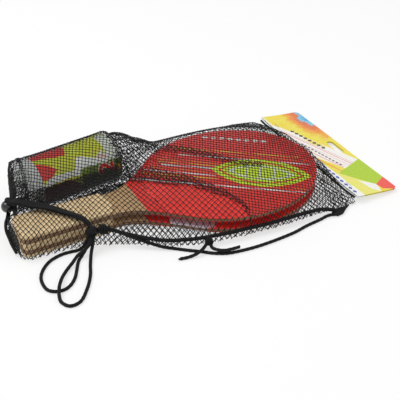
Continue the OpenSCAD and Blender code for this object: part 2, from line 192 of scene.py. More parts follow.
class Shade:
    """Builds one procedural material."""

    def __init__(self, name, colour=(0.8, 0.8, 0.8), rough=0.5, **sockets):
        self.mat = bpy.data.materials.new(name)
        self.mat.use_nodes = True
        self.tree = self.mat.node_tree
        self.bsdf = self.tree.nodes["Principled BSDF"]
        self.bsdf.inputs["Base Color"].default_value = (*colour, 1)
        self.bsdf.inputs["Roughness"].default_value = rough
        for k, v in sockets.items():
            self.bsdf.inputs[k.replace("_", " ")].default_value = v
        self._where = None

    def add(self, kind, inputs=(), **props):
        node = self.tree.nodes.new("ShaderNode" + kind)
        for k, v in props.items():
            setattr(node, k, v)
        for key, v in (inputs.items() if isinstance(inputs, dict) else enumerate(inputs)):
            if v is None:
                continue
            if isinstance(v, bpy.types.NodeSocket):
                self.tree.links.new(v, node.inputs[key])
            else:
                node.inputs[key].default_value = v
        return node

    def where(self):
        """Object coordinates, which are the row frame in metres."""
        if self._where is None:
            self._where = self.add("TexCoord").outputs["Object"]
        return self._where

    def math(self, op, a, b=None):
        return self.add("Math", (a, b), operation=op).outputs[0]

    def local(self, origin, turn_deg):
        """Coordinates in mm from an origin, turned about Z."""
        moved = self.add("VectorMath", (self.where(), tuple(origin)), operation="SUBTRACT").outputs[0]
        turned = self.add("VectorRotate", {"Vector": moved, "Angle": -math.radians(turn_deg)},
                          rotation_type="Z_AXIS").outputs[0]
        return self.add("VectorMath", {0: turned, "Scale": 1000.0}, operation="SCALE").outputs[0]

    def xyz(self, vector):
        return self.add("SeparateXYZ", (vector,)).outputs

    def slanted(self, vector, turn_deg):
        """How far along and across a slant in the plane a point lies."""
        turned = self.add("VectorRotate", {"Vector": vector, "Angle": math.radians(turn_deg)},
                          rotation_type="Z_AXIS").outputs[0]
        return self.xyz(turned)[:2]

    def join(self, x, y, z=0.0):
        return self.add("CombineXYZ", (x, y, z)).outputs[0]

    def noise(self, vector, scale, detail=3.0, rough=0.5, stretch=None):
        if stretch:
            vector = self.add("VectorMath", (vector, stretch), operation="MULTIPLY").outputs[0]
        return self.add("TexNoise", {"Vector": vector, "Scale": scale, "Detail": detail,
                                     "Roughness": rough}).outputs["Fac"]

    def ramp(self, fac, stops, mode="LINEAR"):
        node = self.add("ValToRGB", (fac,))
        node.color_ramp.interpolation = mode
        el = node.color_ramp.elements
        while len(el) < len(stops):
            el.new(0.5)
        for e, (pos, col) in zip(el, stops):
            e.position = pos
            e.color = (*col, 1) if len(col) == 3 else col
        return node.outputs["Color"]

    def span(self, value, a, b, lo=0.0, hi=1.0):
        return self.add("MapRange", (value, a, b, lo, hi)).outputs[0]

    def mix(self, fac, a, b, blend="MIX"):
        node = self.tree.nodes.new("ShaderNodeMix")
        node.data_type = "RGBA"
        node.blend_type = blend
        for key, v in ((0, fac), (6, a), (7, b)):
            if isinstance(v, bpy.types.NodeSocket):
                self.tree.links.new(v, node.inputs[key])
            else:
                node.inputs[key].default_value = (*v, 1) if isinstance(v, tuple) else v
        return node.outputs[2]

    def inside(self, plane, corners, soft=0.3):
        """1 inside a convex polygon of (x, y) corners in the plane's units, counterclockwise."""
        best = None
        n = len(corners)
        turn = sum(corners[i][0] * corners[(i + 1) % n][1] - corners[(i + 1) % n][0] * corners[i][1]
                   for i in range(n))
        pts = corners if turn > 0 else corners[::-1]
        for i in range(n):
            (x0, y0), (x1, y1) = pts[i], pts[(i + 1) % n]
            d = math.hypot(x1 - x0, y1 - y0)
            a, b = -(y1 - y0) / d, (x1 - x0) / d
            # plane's z holds 1, so one dot product is the signed distance
            dist = self.add("VectorMath", (plane, (a, b, -(a * x0 + b * y0))),
                            operation="DOT_PRODUCT").outputs["Value"]
            best = dist if best is None else self.math("MINIMUM", best, dist)
        return self.span(best, -soft / 2, soft / 2)

    def band(self, across, along, centre, width, start, end, soft=0.3):
        """1 on a stripe: centre and width across, start to end along."""
        off = self.math("ABSOLUTE", self.math("SUBTRACT", across, centre))
        edge = self.math("SUBTRACT", width / 2, off)
        edge = self.math("MINIMUM", edge, self.math("SUBTRACT", along, start))
        edge = self.math("MINIMUM", edge, self.math("SUBTRACT", end, along))
        return self.span(edge, -soft / 2, soft / 2)

    def lozenges(self, along, across, centre, start, end, step, long, tall):
        """1 on a row of small lozenges, one every step from start to end."""
        place = self.math("MODULO", self.math("SUBTRACT", along, start), step)
        far = self.math("DIVIDE", self.math("ABSOLUTE", self.math("SUBTRACT", place, step / 2)), long / 2)
        high = self.math("DIVIDE", self.math("ABSOLUTE", self.math("SUBTRACT", across, centre)), tall / 2)
        shape = self.span(self.math("ADD", far, high), 1.05, 0.95)
        return self.math("MULTIPLY", shape, self.band(across, along, centre, tall, start, end))

    def colour(self, socket):
        self.tree.links.new(socket, self.bsdf.inputs["Base Color"])
        return self

    def rough(self, fac, lo, hi):
        self.tree.links.new(self.span(fac, 0.3, 0.7, lo, hi), self.bsdf.inputs["Roughness"])
        return self

    def bump(self, height, strength, distance):
        node = self.add("Bump", {"Strength": strength, "Distance": distance, "Height": height})
        self.tree.links.new(node.outputs[0], self.bsdf.inputs["Normal"])
        return self


# ---------------------------------------------------------------- materials

def yarn(name, dark, light, rough=0.62, scale=900.0, bump=0.25):
    """Black polyester: fibres along and across, with a little wear."""
    m = Shade(name, dark, rough, Sheen_Weight=0.03, Sheen_Roughness=0.5, Specular_IOR_Level=0.16)
    fibre = m.noise(m.where(), scale, 4.0, 0.6)
    broad = m.noise(m.where(), 60.0, 2.0)
    tone = m.mix(m.span(fibre, 0.35, 0.75), dark, light)
    m.colour(m.mix(m.span(broad, 0.3, 0.75, 0.0, 0.6), tone, dark))
    m.rough(fibre, rough - 0.1, min(1.0, rough + 0.15))
    return m.bump(fibre, bump, 0.0002).mat


NET = yarn("net_yarn", (0.008, 0.008, 0.009), (0.036, 0.036, 0.038))
CORD = yarn("cord_braid", (0.003, 0.003, 0.0035), (0.014, 0.014, 0.015), 0.58, 1400.0, 0.35)
BINDING = yarn("binding_tape", (0.003, 0.003, 0.0035), (0.015, 0.015, 0.016), 0.66, 1100.0, 0.4)


def wood_tones(m, plane, pale, mid, dark):
    """Long grain along X with pores and a few growth lines."""
    wander = m.noise(plane, 0.03, 2.0)
    warped = m.add("VectorMath", (plane, m.join(0.0, m.span(wander, 0, 1, -6, 6), 0.0)),
                   operation="ADD").outputs[0]
    lines = m.noise(warped, 1.0, 5.0, 0.65, stretch=(0.012, 0.55, 0.55))
    pores = m.noise(warped, 1.0, 2.0, 0.5, stretch=(0.08, 2.4, 2.4))
    tone = m.ramp(lines, [(0.3, dark), (0.5, mid), (0.72, pale)])
    return m.mix(m.span(pores, 0.56, 0.72, 0.0, 0.45), tone, dark), lines, pores


def grip_material():
    m = Shade("grip_wood", (0.8, 0.6, 0.36), 0.5, Specular_IOR_Level=0.4)
    plane = m.local((AT * MM).tolist(), 0)
    tone, lines, pores = wood_tones(m, plane, (0.98, 0.80, 0.50), (0.93, 0.70, 0.40), (0.76, 0.50, 0.24))
    worn = m.noise(plane, 0.05, 2.0)
    m.colour(m.mix(m.span(worn, 0.45, 0.8, 0.0, 0.35), tone, (0.82, 0.58, 0.31)))
    m.rough(lines, 0.42, 0.6)
    return m.bump(pores, 0.3, 0.0003).mat


RED, NEON = (0.90, 0.030, 0.020), (0.66, 0.90, 0.016)
WHITE, YELLOW, ORANGE = (0.86, 0.86, 0.84), (0.85, 0.62, 0.03), (0.80, 0.22, 0.02)
PAINT_X = -125.0


def blade_material(name, top_z, bottom_z, print_it):
    """Lacquered print on both faces, bare neck and handle, plywood at the edges."""
    m = Shade(name, RED, 0.32, Coat_Weight=0.35, Coat_Roughness=0.18, Specular_IOR_Level=0.45)
    plane = m.local((AT * MM).tolist(), 0)
    x, y, z = m.xyz(plane)
    flat = m.join(x, y, 1.0)
    bare, lines, pores = wood_tones(m, plane, (0.70, 0.47, 0.24), (0.60, 0.38, 0.18), (0.45, 0.26, 0.115))
    mottle = m.noise(plane, 0.06, 3.0)
    red = m.mix(m.span(mottle, 0.3, 0.7), (0.86, 0.026, 0.017), (0.94, 0.036, 0.024))
    design = print_it(m, plane, flat, red)
    painted = m.math("GREATER_THAN", x, PAINT_X)
    face = m.mix(painted, bare, design)
    # five plies and thin glue lines show at the edge; the paint runs a little way over the rim
    middle = m.math("ABSOLUTE", m.math("SUBTRACT", z, (top_z + bottom_z) / 2))
    rim = m.span(m.noise(plane, 0.11, 2.0), 0.3, 0.7, 0.8, 1.7)
    over = m.math("MULTIPLY", painted, m.math("GREATER_THAN", x, PAINT_X + 3))
    bare_half = m.math("SUBTRACT", (top_z - bottom_z) / 2 - 0.12, m.math("MULTIPLY", rim, over))
    edge = m.math("LESS_THAN", middle, bare_half)
    ply = m.span(z, bottom_z, top_z)
    pale, deep, glue = (0.42, 0.24, 0.11), (0.24, 0.115, 0.05), (0.09, 0.04, 0.02)
    veneer = m.ramp(ply, [(0.0, pale), (0.19, glue), (0.22, deep), (0.39, glue), (0.42, pale), (0.6, glue),
                          (0.63, deep), (0.8, glue), (0.83, pale)], "CONSTANT")
    veneer = m.mix(m.span(pores, 0.4, 0.75, 0.0, 0.5), veneer, (0.14, 0.065, 0.03))
    m.colour(m.mix(edge, face, veneer))
    rough = m.math("MAXIMUM", edge, m.math("SUBTRACT", 1.0, painted))
    m.tree.links.new(m.span(rough, 0, 1, 0.3, 0.6), m.bsdf.inputs["Roughness"])
    return m.bump(m.noise(plane, 0.35, 3.0), 0.05, 0.001).mat


def upper_print(m, plane, flat, red):
    """Thin stripes on a slant and a nested leaf shape."""
    along, across = m.slanted(plane, 36)
    tone = red
    for centre, width, start, end, col in (
            (44.0, 1.7, -78, 84, YELLOW), (28.5, 2.4, -68, 100, WHITE), (14.0, 1.7, -92, -14, ORANGE),
            (8.0, 1.4, -90, -16, YELLOW), (1.5, 3.2, -86, -16, (0.62, 0.62, 0.63)), (-7.0, 1.5, -98, -14, ORANGE),
            (-14.0, 2.4, -106, -14, WHITE), (-21.0, 1.7, -108, -10, YELLOW), (-27.0, 2.0, -100, -30, ORANGE),
            (-36.0, 2.4, -114, 98, WHITE), (-29.5, 1.5, 20, 98, ORANGE), (36.5, 1.3, -30, 92, ORANGE)):
        tone = m.mix(m.band(across, along, centre, width, start, end), tone, col)
    tone = m.mix(m.lozenges(along, across, 77.0, -46, 42, 11.0, 9.6, 7.6), tone, WHITE)
    # leaf: where two discs overlap; the distance to its edge nests bands inside it
    half, belly, at_along, at_across = 62.0, 31.0, 40.0, 0.5
    radius = (half * half + belly * belly) / (2 * belly)
    inner = None
    for side in (-1, 1):
        centre = (at_along, at_across + side * (radius - belly), 0.0)
        lying = m.join(along, across, 0.0)
        dist = m.add("VectorMath", (lying, centre), operation="DISTANCE").outputs["Value"]
        depth = m.math("SUBTRACT", radius, dist)
        inner = depth if inner is None else m.math("MINIMUM", inner, depth)
    bands = m.ramp(m.span(inner, 0.0, 31.0), [(0.0, NEON), (0.22, RED), (0.30, NEON), (0.50, WHITE),
                                             (0.57, NEON)], "CONSTANT")
    bars = m.math("LESS_THAN", m.math("MODULO", m.math("ADD", along, 200.0), 17.0), 2.6)
    bars = m.math("MULTIPLY", bars, m.math("GREATER_THAN", inner, 14.5))
    bands = m.mix(bars, bands, (0.72, 0.74, 0.70))
    return m.mix(m.span(inner, -0.2, 0.2), tone, bands)


def lower_print(m, plane, flat, red):
    """The edge of the lower bat shows a white printed wedge, coloured lilac as painted shade with red bounce light.
    """
    tone = red
    wedge = m.inside(flat, [(-97, -24), (-49, -54), (-62, -80), (-108, -64)], 0.5)
    # white print in painted shade: mottled lilac tones stand for the shadow and the red bounce light on it
    shade_tint = m.noise(plane, 0.09, 3.0)
    pale = m.mix(m.span(shade_tint, 0.3, 0.7), (0.80, 0.74, 0.80), (0.66, 0.52, 0.62))
    tone = m.mix(wedge, tone, pale)
    for x0 in (-40.0, 10.0):
        stripe = m.inside(flat, [(x0, 20), (x0 + 70, -30), (x0 + 72, -27), (x0 + 2, 23)], 0.4)
        tone = m.mix(stripe, tone, WHITE)
    return tone


def label_material():
    """Printed label round the tube, with a painted highlight and painted shade on its lower side; s runs along it
    and t is the angle round it in degrees.
    """
    m = Shade("tube_label_print_and_painted_light", (0.55, 0.65, 0.05), 0.35, Coat_Weight=0.2, Coat_Roughness=0.2)
    q = m.local(row(TUBE_AT).tolist(), TUBE_TURN)
    s, n, z = m.xyz(q)
    t = m.math("ARCTAN2", z, n)
    t = m.math("MODULO", m.math("ADD", m.math("MULTIPLY", t, 180 / math.pi), 360.0), 360.0)
    ripple = m.span(m.noise(q, 0.09, 2.0), 0.3, 0.7, -2.5, 2.5)
    flat = m.join(s, m.math("ADD", t, ripple), 1.0)
    grain = m.noise(q, 0.12, 3.0)
    lime = m.mix(m.span(m.noise(q, 0.05, 2.0), 0.35, 0.65), (0.62, 0.70, 0.030), (0.74, 0.78, 0.05))
    # the lime print darkened to green as painted shade
    shaded_lime = m.mix(m.span(grain, 0.3, 0.7), (0.10, 0.16, 0.015), (0.24, 0.33, 0.025))
    red, shaded_red, pale = (0.84, 0.040, 0.032), (0.22, 0.022, 0.028), (0.86, 0.87, 0.82)
    tone = lime
    for corners, col in (
            # a painted highlight: a pale streak along the near upper side, widening towards the figure
            ([(7, 166), (21, 147), (54, 149), (65, 152), (48, 161)], pale),
            ([(54, 151), (61, 118), (84, 140), (84, 153)], pale),
            ([(82, 154), (84, 140), (94, 125), (106, 157)], pale),
            ([(48, 163), (62, 149), (105, 149), (106, 159), (60, 165)], pale),
            ([(86, 136), (96, 132), (99, 146), (88, 144)], (0.80, 0.56, 0.46)),
            ([(98, 80), (118, 70), (118, 156), (100, 154)], (0.74, 0.78, 0.68)),
            ([(8, 40), (58, 40), (56, 87), (50, 109), (35, 103), (6, 90)], red),
            ([(4, 97), (24, 116), (39, 147), (27, 148), (16, 156), (6, 167)], red),
            # painted shade on the lower side: the lime turns green and near black, the red turns maroon and near
            # black, and round the far lower side the lime is darker
            ([(48, 161), (65, 153), (105, 155), (117, 157), (117, 230), (61, 230), (61, 195), (46, 167)], shaded_lime),
            ([(62, 176), (117, 172), (117, 290), (62, 290)], (0.07, 0.10, 0.012)),
            ([(6, 170), (46, 165), (62, 194), (62, 230), (6, 230)], shaded_red),
            ([(6, 214), (66, 206), (66, 290), (6, 290)], (0.035, 0.010, 0.010)),
            ([(6, 290), (117, 290), (117, 361), (6, 361)], (0.42, 0.52, 0.03)),
            ([(110, 172), (114, 172), (114, 196), (110, 196)], (0.80, 0.34, 0.03))):
        tone = m.mix(m.inside(flat, corners, 1.0), tone, col)
    swirl = m.band(m.xyz(flat)[1], s, 122.0, 3.0, 30, 96, 1.0)
    tone = m.mix(m.math("MULTIPLY", swirl, 0.5), tone, (0.75, 0.42, 0.10))
    m.colour(tone)
    return m.bump(m.noise(q, 0.5, 2.0), 0.06, 0.0006).mat


CARD_HINGE = np.array([120.3, 8.5, 9.5])


def card_material():
    """Printed card; a runs out from the fold over the net, b along the card."""
    m = Shade("card_print", (0.85, 0.8, 0.1), 0.3, Coat_Weight=0.3, Coat_Roughness=0.12)
    q = m.local(row(CARD_HINGE).tolist(), 0)
    a, b, _ = m.xyz(q)
    flat = m.join(a, b, 1.0)
    haze = m.noise(q, 0.045, 3.0)
    tone = m.mix(m.span(haze, 0.35, 0.65), (0.86, 0.66, 0.02), (0.84, 0.76, 0.08))
    # rings of warm to cool colour spreading from the far corner of the folded edge
    stretched = m.add("VectorMath", (q, (1.9, 0.8, 0.0)), operation="MULTIPLY").outputs[0]
    away = m.add("VectorMath", (stretched, (114.0, 70.0, 0.0)), operation="DISTANCE").outputs["Value"]
    away = m.math("ADD", away, m.span(m.noise(q, 0.12, 3.0), 0.3, 0.7, -7, 7))
    glow = m.ramp(m.span(away, 0.0, 60.0), [(0.0, (0.06, 0.36, 0.72)), (0.22, (0.20, 0.62, 0.80)),
                                            (0.32, (0.70, 0.14, 0.05)), (0.50, (0.84, 0.22, 0.03)),
                                            (0.70, (0.86, 0.42, 0.03)), (0.92, (0.82, 0.66, 0.05))])
    tone = m.mix(m.span(away, 58, 44), tone, glow)
    paper, pink = (0.88, 0.88, 0.86), (0.80, 0.30, 0.28)
    for corners, col in (
            ([(2, 90), (10, 78), (30, 34), (60, -36), (30, -50), (2, 2)], (0.90, 0.88, 0.84)),
            ([(22, 44), (34, 24), (40, 6), (26, 18)], (0.86, 0.72, 0.10)),
            ([(13, -57), (64, -33), (66, -86), (43, -98)], (0.42, 0.62, 0.01)),
            ([(1, -60), (13, -57), (43, -98), (36, -113), (1, -113)], (0.82, 0.78, 0.16)),
            ([(26, -80), (43, -97), (38, -113), (30, -104)], (0.88, 0.88, 0.82)),
            ([(42, -96.5), (66, -82), (72, -120), (44, -108)], (0.86, 0.085, 0.06))):
        tone = m.mix(m.inside(flat, corners, 0.6), tone, col)
    for k, (a0, b0, a1, b1, wide, col) in enumerate((
            (-2, 86, 45, -42, 1.1, (0.76, 0.10, 0.08)), (4, 78, 48, -40, 0.8, pink), (0, 60, 40, -44, 0.8, pink),
            (-2, 36, 29, -46, 1.2, (0.74, 0.06, 0.05)), (4, 1, 20.5, -53.7, 1.2, (0.74, 0.06, 0.05)),
            (10, 20, 34, -45, 0.7, pink))):
        d = math.hypot(a1 - a0, b1 - b0)
        ux, uy = (a1 - a0) / d * wide / 2, (b1 - b0) / d * wide / 2
        tone = m.mix(m.inside(flat, [(a0 - uy, b0 + ux), (a1 - uy, b1 + ux), (a1 + uy, b1 - ux),
                                     (a0 + uy, b0 - ux)], 0.4), tone, col)
    # two dark rows of small shapes on a slant over the pale field
    along, across = m.slanted(q, 75)
    for centre, start, end, step, long, tall in ((35.0, -58, 6, 8.0, 7.0, 6.4), (18.5, -24, 48, 6.0, 4.8, 3.4)):
        tone = m.mix(m.lozenges(along, across, centre, start, end, step, long, tall), tone, (0.03, 0.022, 0.035))
    # unprinted margin along the open edge, wider towards the near end, with a blue row on it
    margin = m.math("SUBTRACT", m.span(b, -113, 113, 12.0, 3.0), a)
    tone = m.mix(m.span(margin, -0.3, 0.3), tone, paper)
    m.colour(m.mix(m.lozenges(b, a, 5.2, -106, -34, 9.0, 7.6, 5.0), tone, (0.02, 0.07, 0.42)))
    m.rough(m.noise(q, 0.3, 2.0), 0.24, 0.36)
    return m.bump(m.noise(q, 0.9, 3.0), 0.04, 0.0004).mat


def speckled(name, colour, second, rough, scale, bump=0.08, **sockets):
    m = Shade(name, colour, rough, **sockets)
    fleck = m.noise(m.where(), scale, 4.0, 0.6)
    m.colour(m.mix(m.span(fleck, 0.35, 0.7), colour, second))
    m.rough(fleck, max(0.05, rough - 0.08), rough + 0.1)
    return m.bump(fleck, bump, 0.0003).mat


CARD = card_material()
GRIP = grip_material()
LABEL = label_material()
BEAD = speckled("bead_plastic", (0.012, 0.012, 0.013), (0.02, 0.02, 0.022), 0.16, 700, 0.03,
                Coat_Weight=0.5, Coat_Roughness=0.08)
STAPLE = speckled("staple_wire", (0.62, 0.62, 0.64), (0.48, 0.48, 0.5), 0.3, 2500, 0.1, Metallic=1.0)
WALL = speckled("tube_wall_plastic", (0.78, 0.82, 0.80), (0.70, 0.76, 0.74), 0.3, 500)
BASE = speckled("tube_base_plastic", (0.66, 0.70, 0.70), (0.56, 0.60, 0.60), 0.4, 700)
LID = speckled("lid_plastic", (0.86, 0.88, 0.85), (0.76, 0.79, 0.77), 0.3, 300, 0.05,
               Transmission_Weight=0.25, IOR=1.49)
NOSE = speckled("shuttle_nose_foam", (0.80, 0.80, 0.76), (0.66, 0.66, 0.62), 0.8, 1500, 0.5)
BAND = speckled("shuttle_band_plastic", (0.62, 0.03, 0.02), (0.5, 0.02, 0.015), 0.35, 600)
SKIRT = speckled("shuttle_skirt_nylon", (0.42, 0.66, 0.02), (0.34, 0.55, 0.015), 0.42, 900)


# ---------------------------------------------------------------- camera, floor, light

scene = bpy.context.scene
cam_data = bpy.data.cameras.new("camera")
cam_data.sensor_width = 36.0
cam_data.lens = 72.0
camera = bpy.data.objects.new("camera", cam_data)
camera.location = (-0.3717, -0.7436, 0.5556)
camera.rotation_euler = (math.radians(55.62), 0.0, math.radians(-27.55))
scene.collection.objects.link(camera)
scene.camera = camera
scene.view_settings.view_transform = "Standard"


def floor_material():
    """White ground: half lit and half glowing to the camera, so that only a soft shadow stays."""
    m = Shade("floor", (0.93, 0.93, 0.93), 0.9)
    path = m.add("LightPath")
    seen = m.math("MAXIMUM", path.outputs["Is Camera Ray"],
                  m.math("MAXIMUM", path.outputs["Is Glossy Ray"], path.outputs["Is Transmission Ray"]))
    glow = m.add("Emission", {"Color": (1, 1, 1, 1), "Strength": 1.0})
    mixed = m.add("MixShader", (m.math("MULTIPLY", seen, 0.62), m.bsdf.outputs[0], glow.outputs[0]))
    m.tree.links.new(mixed.outputs[0], m.tree.nodes["Material Output"].inputs["Surface"])
    return m.mat


reach = 3.0
floor = make_mesh("floor", [(-reach, -reach, 0), (reach, -reach, 0), (reach, reach, 0), (-reach, reach, 0)],
                  [(0, 1, 2, 3)], [floor_material()], smooth=False)

world = bpy.data.worlds.new("studio")
scene.world = world
world.use_nodes = True
wt = world.node_tree
wt.nodes["Background"].inputs["Color"].default_value = (1, 1, 1, 1)
wt.nodes["Background"].inputs["Strength"].default_value = 0.62
bright = wt.nodes.new("ShaderNodeBackground")
bright.inputs["Strength"].default_value = 1.0
lp = wt.nodes.new("ShaderNodeLightPath")
pick = wt.nodes.new("ShaderNodeMixShader")
wt.links.new(lp.outputs["Is Camera Ray"], pick.inputs[0])
wt.links.new(wt.nodes["Background"].outputs[0], pick.inputs[1])
wt.links.new(bright.outputs[0], pick.inputs[2])
wt.links.new(pick.outputs[0], wt.nodes["World Output"].inputs["Surface"])


def lamp(name, place, size, watts):
    data = bpy.data.lights.new(name, "AREA")
    data.size = size
    data.energy = watts
    obj = bpy.data.objects.new(name, data)
    obj.location = place
    obj.rotation_euler = (Vector((0, 0, 0)) - Vector(place)).to_track_quat("-Z", "Y").to_euler()
    scene.collection.objects.link(obj)


lamp("key", (-0.9, 0.5, 1.9), 1.2, 21)
lamp("fill", (1.2, -1.0, 1.6), 1.6, 8)


# ---------------------------------------------------------------- cords

CORD_D = 4.0
ROUTES = {
    "carry_cord": [(84, -114, 3), (75, -111, 2.5), (61, -113, 2), (40, -116, 2), (22, -120, 2), (3, -122, 2),
                   (-16, -123, 2), (-34, -123, 2), (-54, -121, 2), (-68, -118, 2), (-81, -111, 2), (-92, -102, 2),
                   (-104, -93, 2), (-115, -84, 2), (-127, -77, 4), (-139, -69, 8), (-150, -61.5, 12.5),
                   (-160, -54, 16.5), (-169, -47, 20.5), (-178.5, -41, 23.5)],
    "bow_loop_left": [(-198.5, -40, 21.5), (-203, -40, 15), (-207, -39, 8), (-213, -37, 3), (-222, -35, 2),
                      (-232, -35, 2), (-247, -40, 2), (-258, -50, 2), (-265, -62, 2), (-267, -75, 2),
                      (-265, -86, 2), (-258, -92, 2), (-249, -93, 2), (-241, -89, 2), (-233, -80, 2),
                      (-226, -67, 2), (-219, -54, 2), (-211, -47, 4), (-204, -44, 11), (-198.5, -41, 19)],
    "bow_loop_right": [(-197.5, -41, 20), (-202, -46, 14), (-209, -47, 8.6), (-218, -50, 6.4), (-227, -57, 4.5),
                       (-236, -64, 3), (-244, -73, 3.5), (-250, -83, 5.5), (-254.5, -92, 6.4), (-258, -101, 4),
                       (-259, -110, 2), (-253, -120, 2), (-242, -119, 2), (-228, -103, 2), (-217, -84, 2),
                       (-210, -66, 2), (-203, -51, 5), (-198, -45, 13), (-195.5, -42, 21)],
    "seam_tail_left": [(-82, -97, 7), (-87, -101, 6.2), (-93, -105, 6.2), (-101, -105.5, 3.5), (-110, -104.5, 2),
                       (-118, -103, 2)],
    "seam_tail_right": [(-78.5, -100, 6), (-80, -106, 6.2), (-77, -112, 6.2), (-70, -117, 6.2),
                        (-62, -118.5, 6.2), (-54, -119, 6.2)],
}
BARE_TAILS = ("seam_tail_left", "seam_tail_right")


def frayed_end(name, line, seed):
    """Short loose strands where a tail was cut."""
    rng = random.Random(seed)
    tip, ahead = line[-1], unit(line[-1] - line[-4])
    side = unit(np.cross(ahead, [0, 0, 1]))
    parts = []
    for k in range(14):
        a, r = 2 * math.pi * k / 14, rng.uniform(0.3, 1.5)
        off = side * r * math.cos(a) + np.array([0, 0, 1]) * r * math.sin(a)
        flare = 1 + rng.uniform(0.1, 0.55)
        pts = [tip - ahead * 1.5 + off, tip + off * 1.05, tip + ahead * rng.uniform(1.5, 2.6) + off * flare]
        pts = [np.array([p[0], p[1], max(p[2], 0.4)]) for p in pts]
        parts.append((curve_through(pts, 0.5), 0.32, {"sides": 5}))
    return settle(tubes(name, parts, [CORD]), "bag", "cord")


for cord_name, route in ROUTES.items():
    line = curve_through(route, 0.5)
    look = {"sides": 18, "relief": braid(4, 6.0, 0.07)}
    cord = tubes(cord_name + "_braid", [(line, CORD_D / 2, look)], [CORD])
    settle(cord, "bag", "cord", cord_name)
    bare = cord_name in BARE_TAILS
    ends = [frayed_end(cord_name + "_fray", line, 11 + len(cord_name))] if bare else []


# knots: closed strands wound through each other
def knot_lines(centre, size, tube, turns, seed):
    rng = random.Random(seed)
    parts = []
    for k in range(turns):
        t = np.linspace(0, 2 * math.pi, 150, endpoint=False)
        p = np.stack([np.sin(t) + 2 * np.sin(2 * t), np.cos(t) - 2 * np.cos(2 * t), -1.7 * np.sin(3 * t)], 1) / 3
        turn = (Matrix.Rotation(rng.uniform(0, 6.28), 3, "Z")
                @ Matrix.Rotation(0.9 * k + rng.uniform(-0.2, 0.2), 3, "X")
                @ Matrix.Rotation(rng.uniform(0, 6.28), 3, "Y"))
        p = (p @ np.array(turn)) * (size - tube) + centre
        parts.append((p, tube, {"sides": 12, "closed": True}))
    return parts


def wound(centre, axis, radius, tube, turns, spread):
    """A coil of turns round an axis, closed off inside by its own thickness."""
    axis = unit(np.array(axis, float))
    side = unit(np.cross(axis, [0, 0, 1.0]))
    up = np.cross(side, axis)
    a = np.linspace(0, 2 * math.pi * turns, int(46 * turns))
    along = np.linspace(-spread / 2, spread / 2, len(a))
    wobble = 1 + 0.06 * np.sin(a * 0.7)
    return (centre + axis * along[:, None] + side * (radius * wobble * np.cos(a))[:, None]
            + up * (radius * wobble * np.sin(a))[:, None])


bow_at, wrap_at, seam_knot_at = (np.array(p) for p in (
    (-196, -38, 24), (-182.5, -38.5, 22.5), (-79, -96.5, 8.6)))
strand = {"sides": 14, "relief": braid(4, 6.0, 0.07)}
parts = knot_lines(bow_at, 7.4, 1.95, 2, 3)
parts.append((wound(bow_at, (0.5, -0.6, -0.5), 5.0, 1.9, 1.6, 3.5), 1.9, strand))
settle(tubes("bow_knot_wound", parts, [CORD]), "bag", "cord", "bow_knot")
parts = [(wound(wrap_at, (0.93, -0.3, -0.1), 4.4, 1.75, 3.2, 9.0), 1.75, strand),
         (evenly(np.array([wrap_at - [6.5, -1.5, 0], wrap_at, wrap_at + [6, -2, -1]]), 0.6), 3.2,
          {"sides": 14, "relief": twist(6, 9, 0.15)})]
settle(tubes("bow_wrap_wound", parts, [CORD]), "bag", "cord", "bow_wrap")
parts = knot_lines(seam_knot_at, 6.0, 1.75, 2, 8)
parts.append((wound(seam_knot_at, (0.8, -0.5, 0.1), 3.9, 1.7, 1.4, 3.2), 1.7, strand))
settle(tubes("seam_knot_wound", parts, [CORD]), "bag", "cord", "seam_knot")


# ---------------------------------------------------------------- piping and gathered bands

SEAM = [(84, -109, 6), (70, -106, 10), (48, -105, 12), (22, -104, 12), (-4, -103, 12), (-28, -100, 12),
        (-50, -98, 12), (-70, -94.5, 12), (-88, -91, 12), (-106, -85, 12), (-122, -78, 12), (-136, -69, 13),
        (-150, -59, 15), (-163, -50, 18), (-172, -43.5, 20.5), (-179, -40, 22)]
seam_line = curve_through(SEAM, 0.55)


def overlock(s, a):
    """Stitches that run round the piping, each a little different."""
    return 1 + 0.09 * np.cos(2 * np.pi * s / 1.9 + 0.6 * np.sin(a)) + 0.05 * np.sin(s * 0.37) * np.cos(a)


settle(tubes("side_seam_piping", [(seam_line, 2.25, {"sides": 14, "relief": overlock})], [BINDING]),
       "bag", "binding", "side_seam")


def gathered(name, route, wide, thick, strands, node, seed):
    """A bunched band: strands side by side that wander over each other along a route."""
    rng = random.Random(seed)
    line = curve_through(route, 0.8)
    t, side, up = frames_along(line)
    f = np.linspace(0, 1, len(line))[:, None]
    w = (wide[0] * (1 - f) + wide[1] * f) / 2
    h = (thick[0] * (1 - f) + thick[1] * f) / 2
    parts = []
    for k in range(strands):
        a0 = 2 * math.pi * k / strands
        ph = rng.uniform(0, 6.28)
        drift = a0 + 0.7 * np.sin(f * rng.uniform(3, 7) + ph)
        r = 0.62 + 0.12 * np.sin(f * 9 + ph)
        tube = 0.42 * (h + 0.35 * (w - h))
        off = side * (w - tube) * r * 1.2 * np.cos(drift) + up * (h - tube * 0.9) * r * np.sin(drift)
        swell = (tube * (1 + 0.1 * np.sin(f * 30 + ph)))[:, 0]
        parts.append((line + off, swell, {"sides": 10, "relief": twist(4, 3.0, 0.12)}))
    parts.append((line, (h * 0.8)[:, 0], {"sides": 12, "relief": twist(8, 5.0, 0.1)}))
    return settle(tubes(name, parts, [CORD]), "bag", "cord", node)


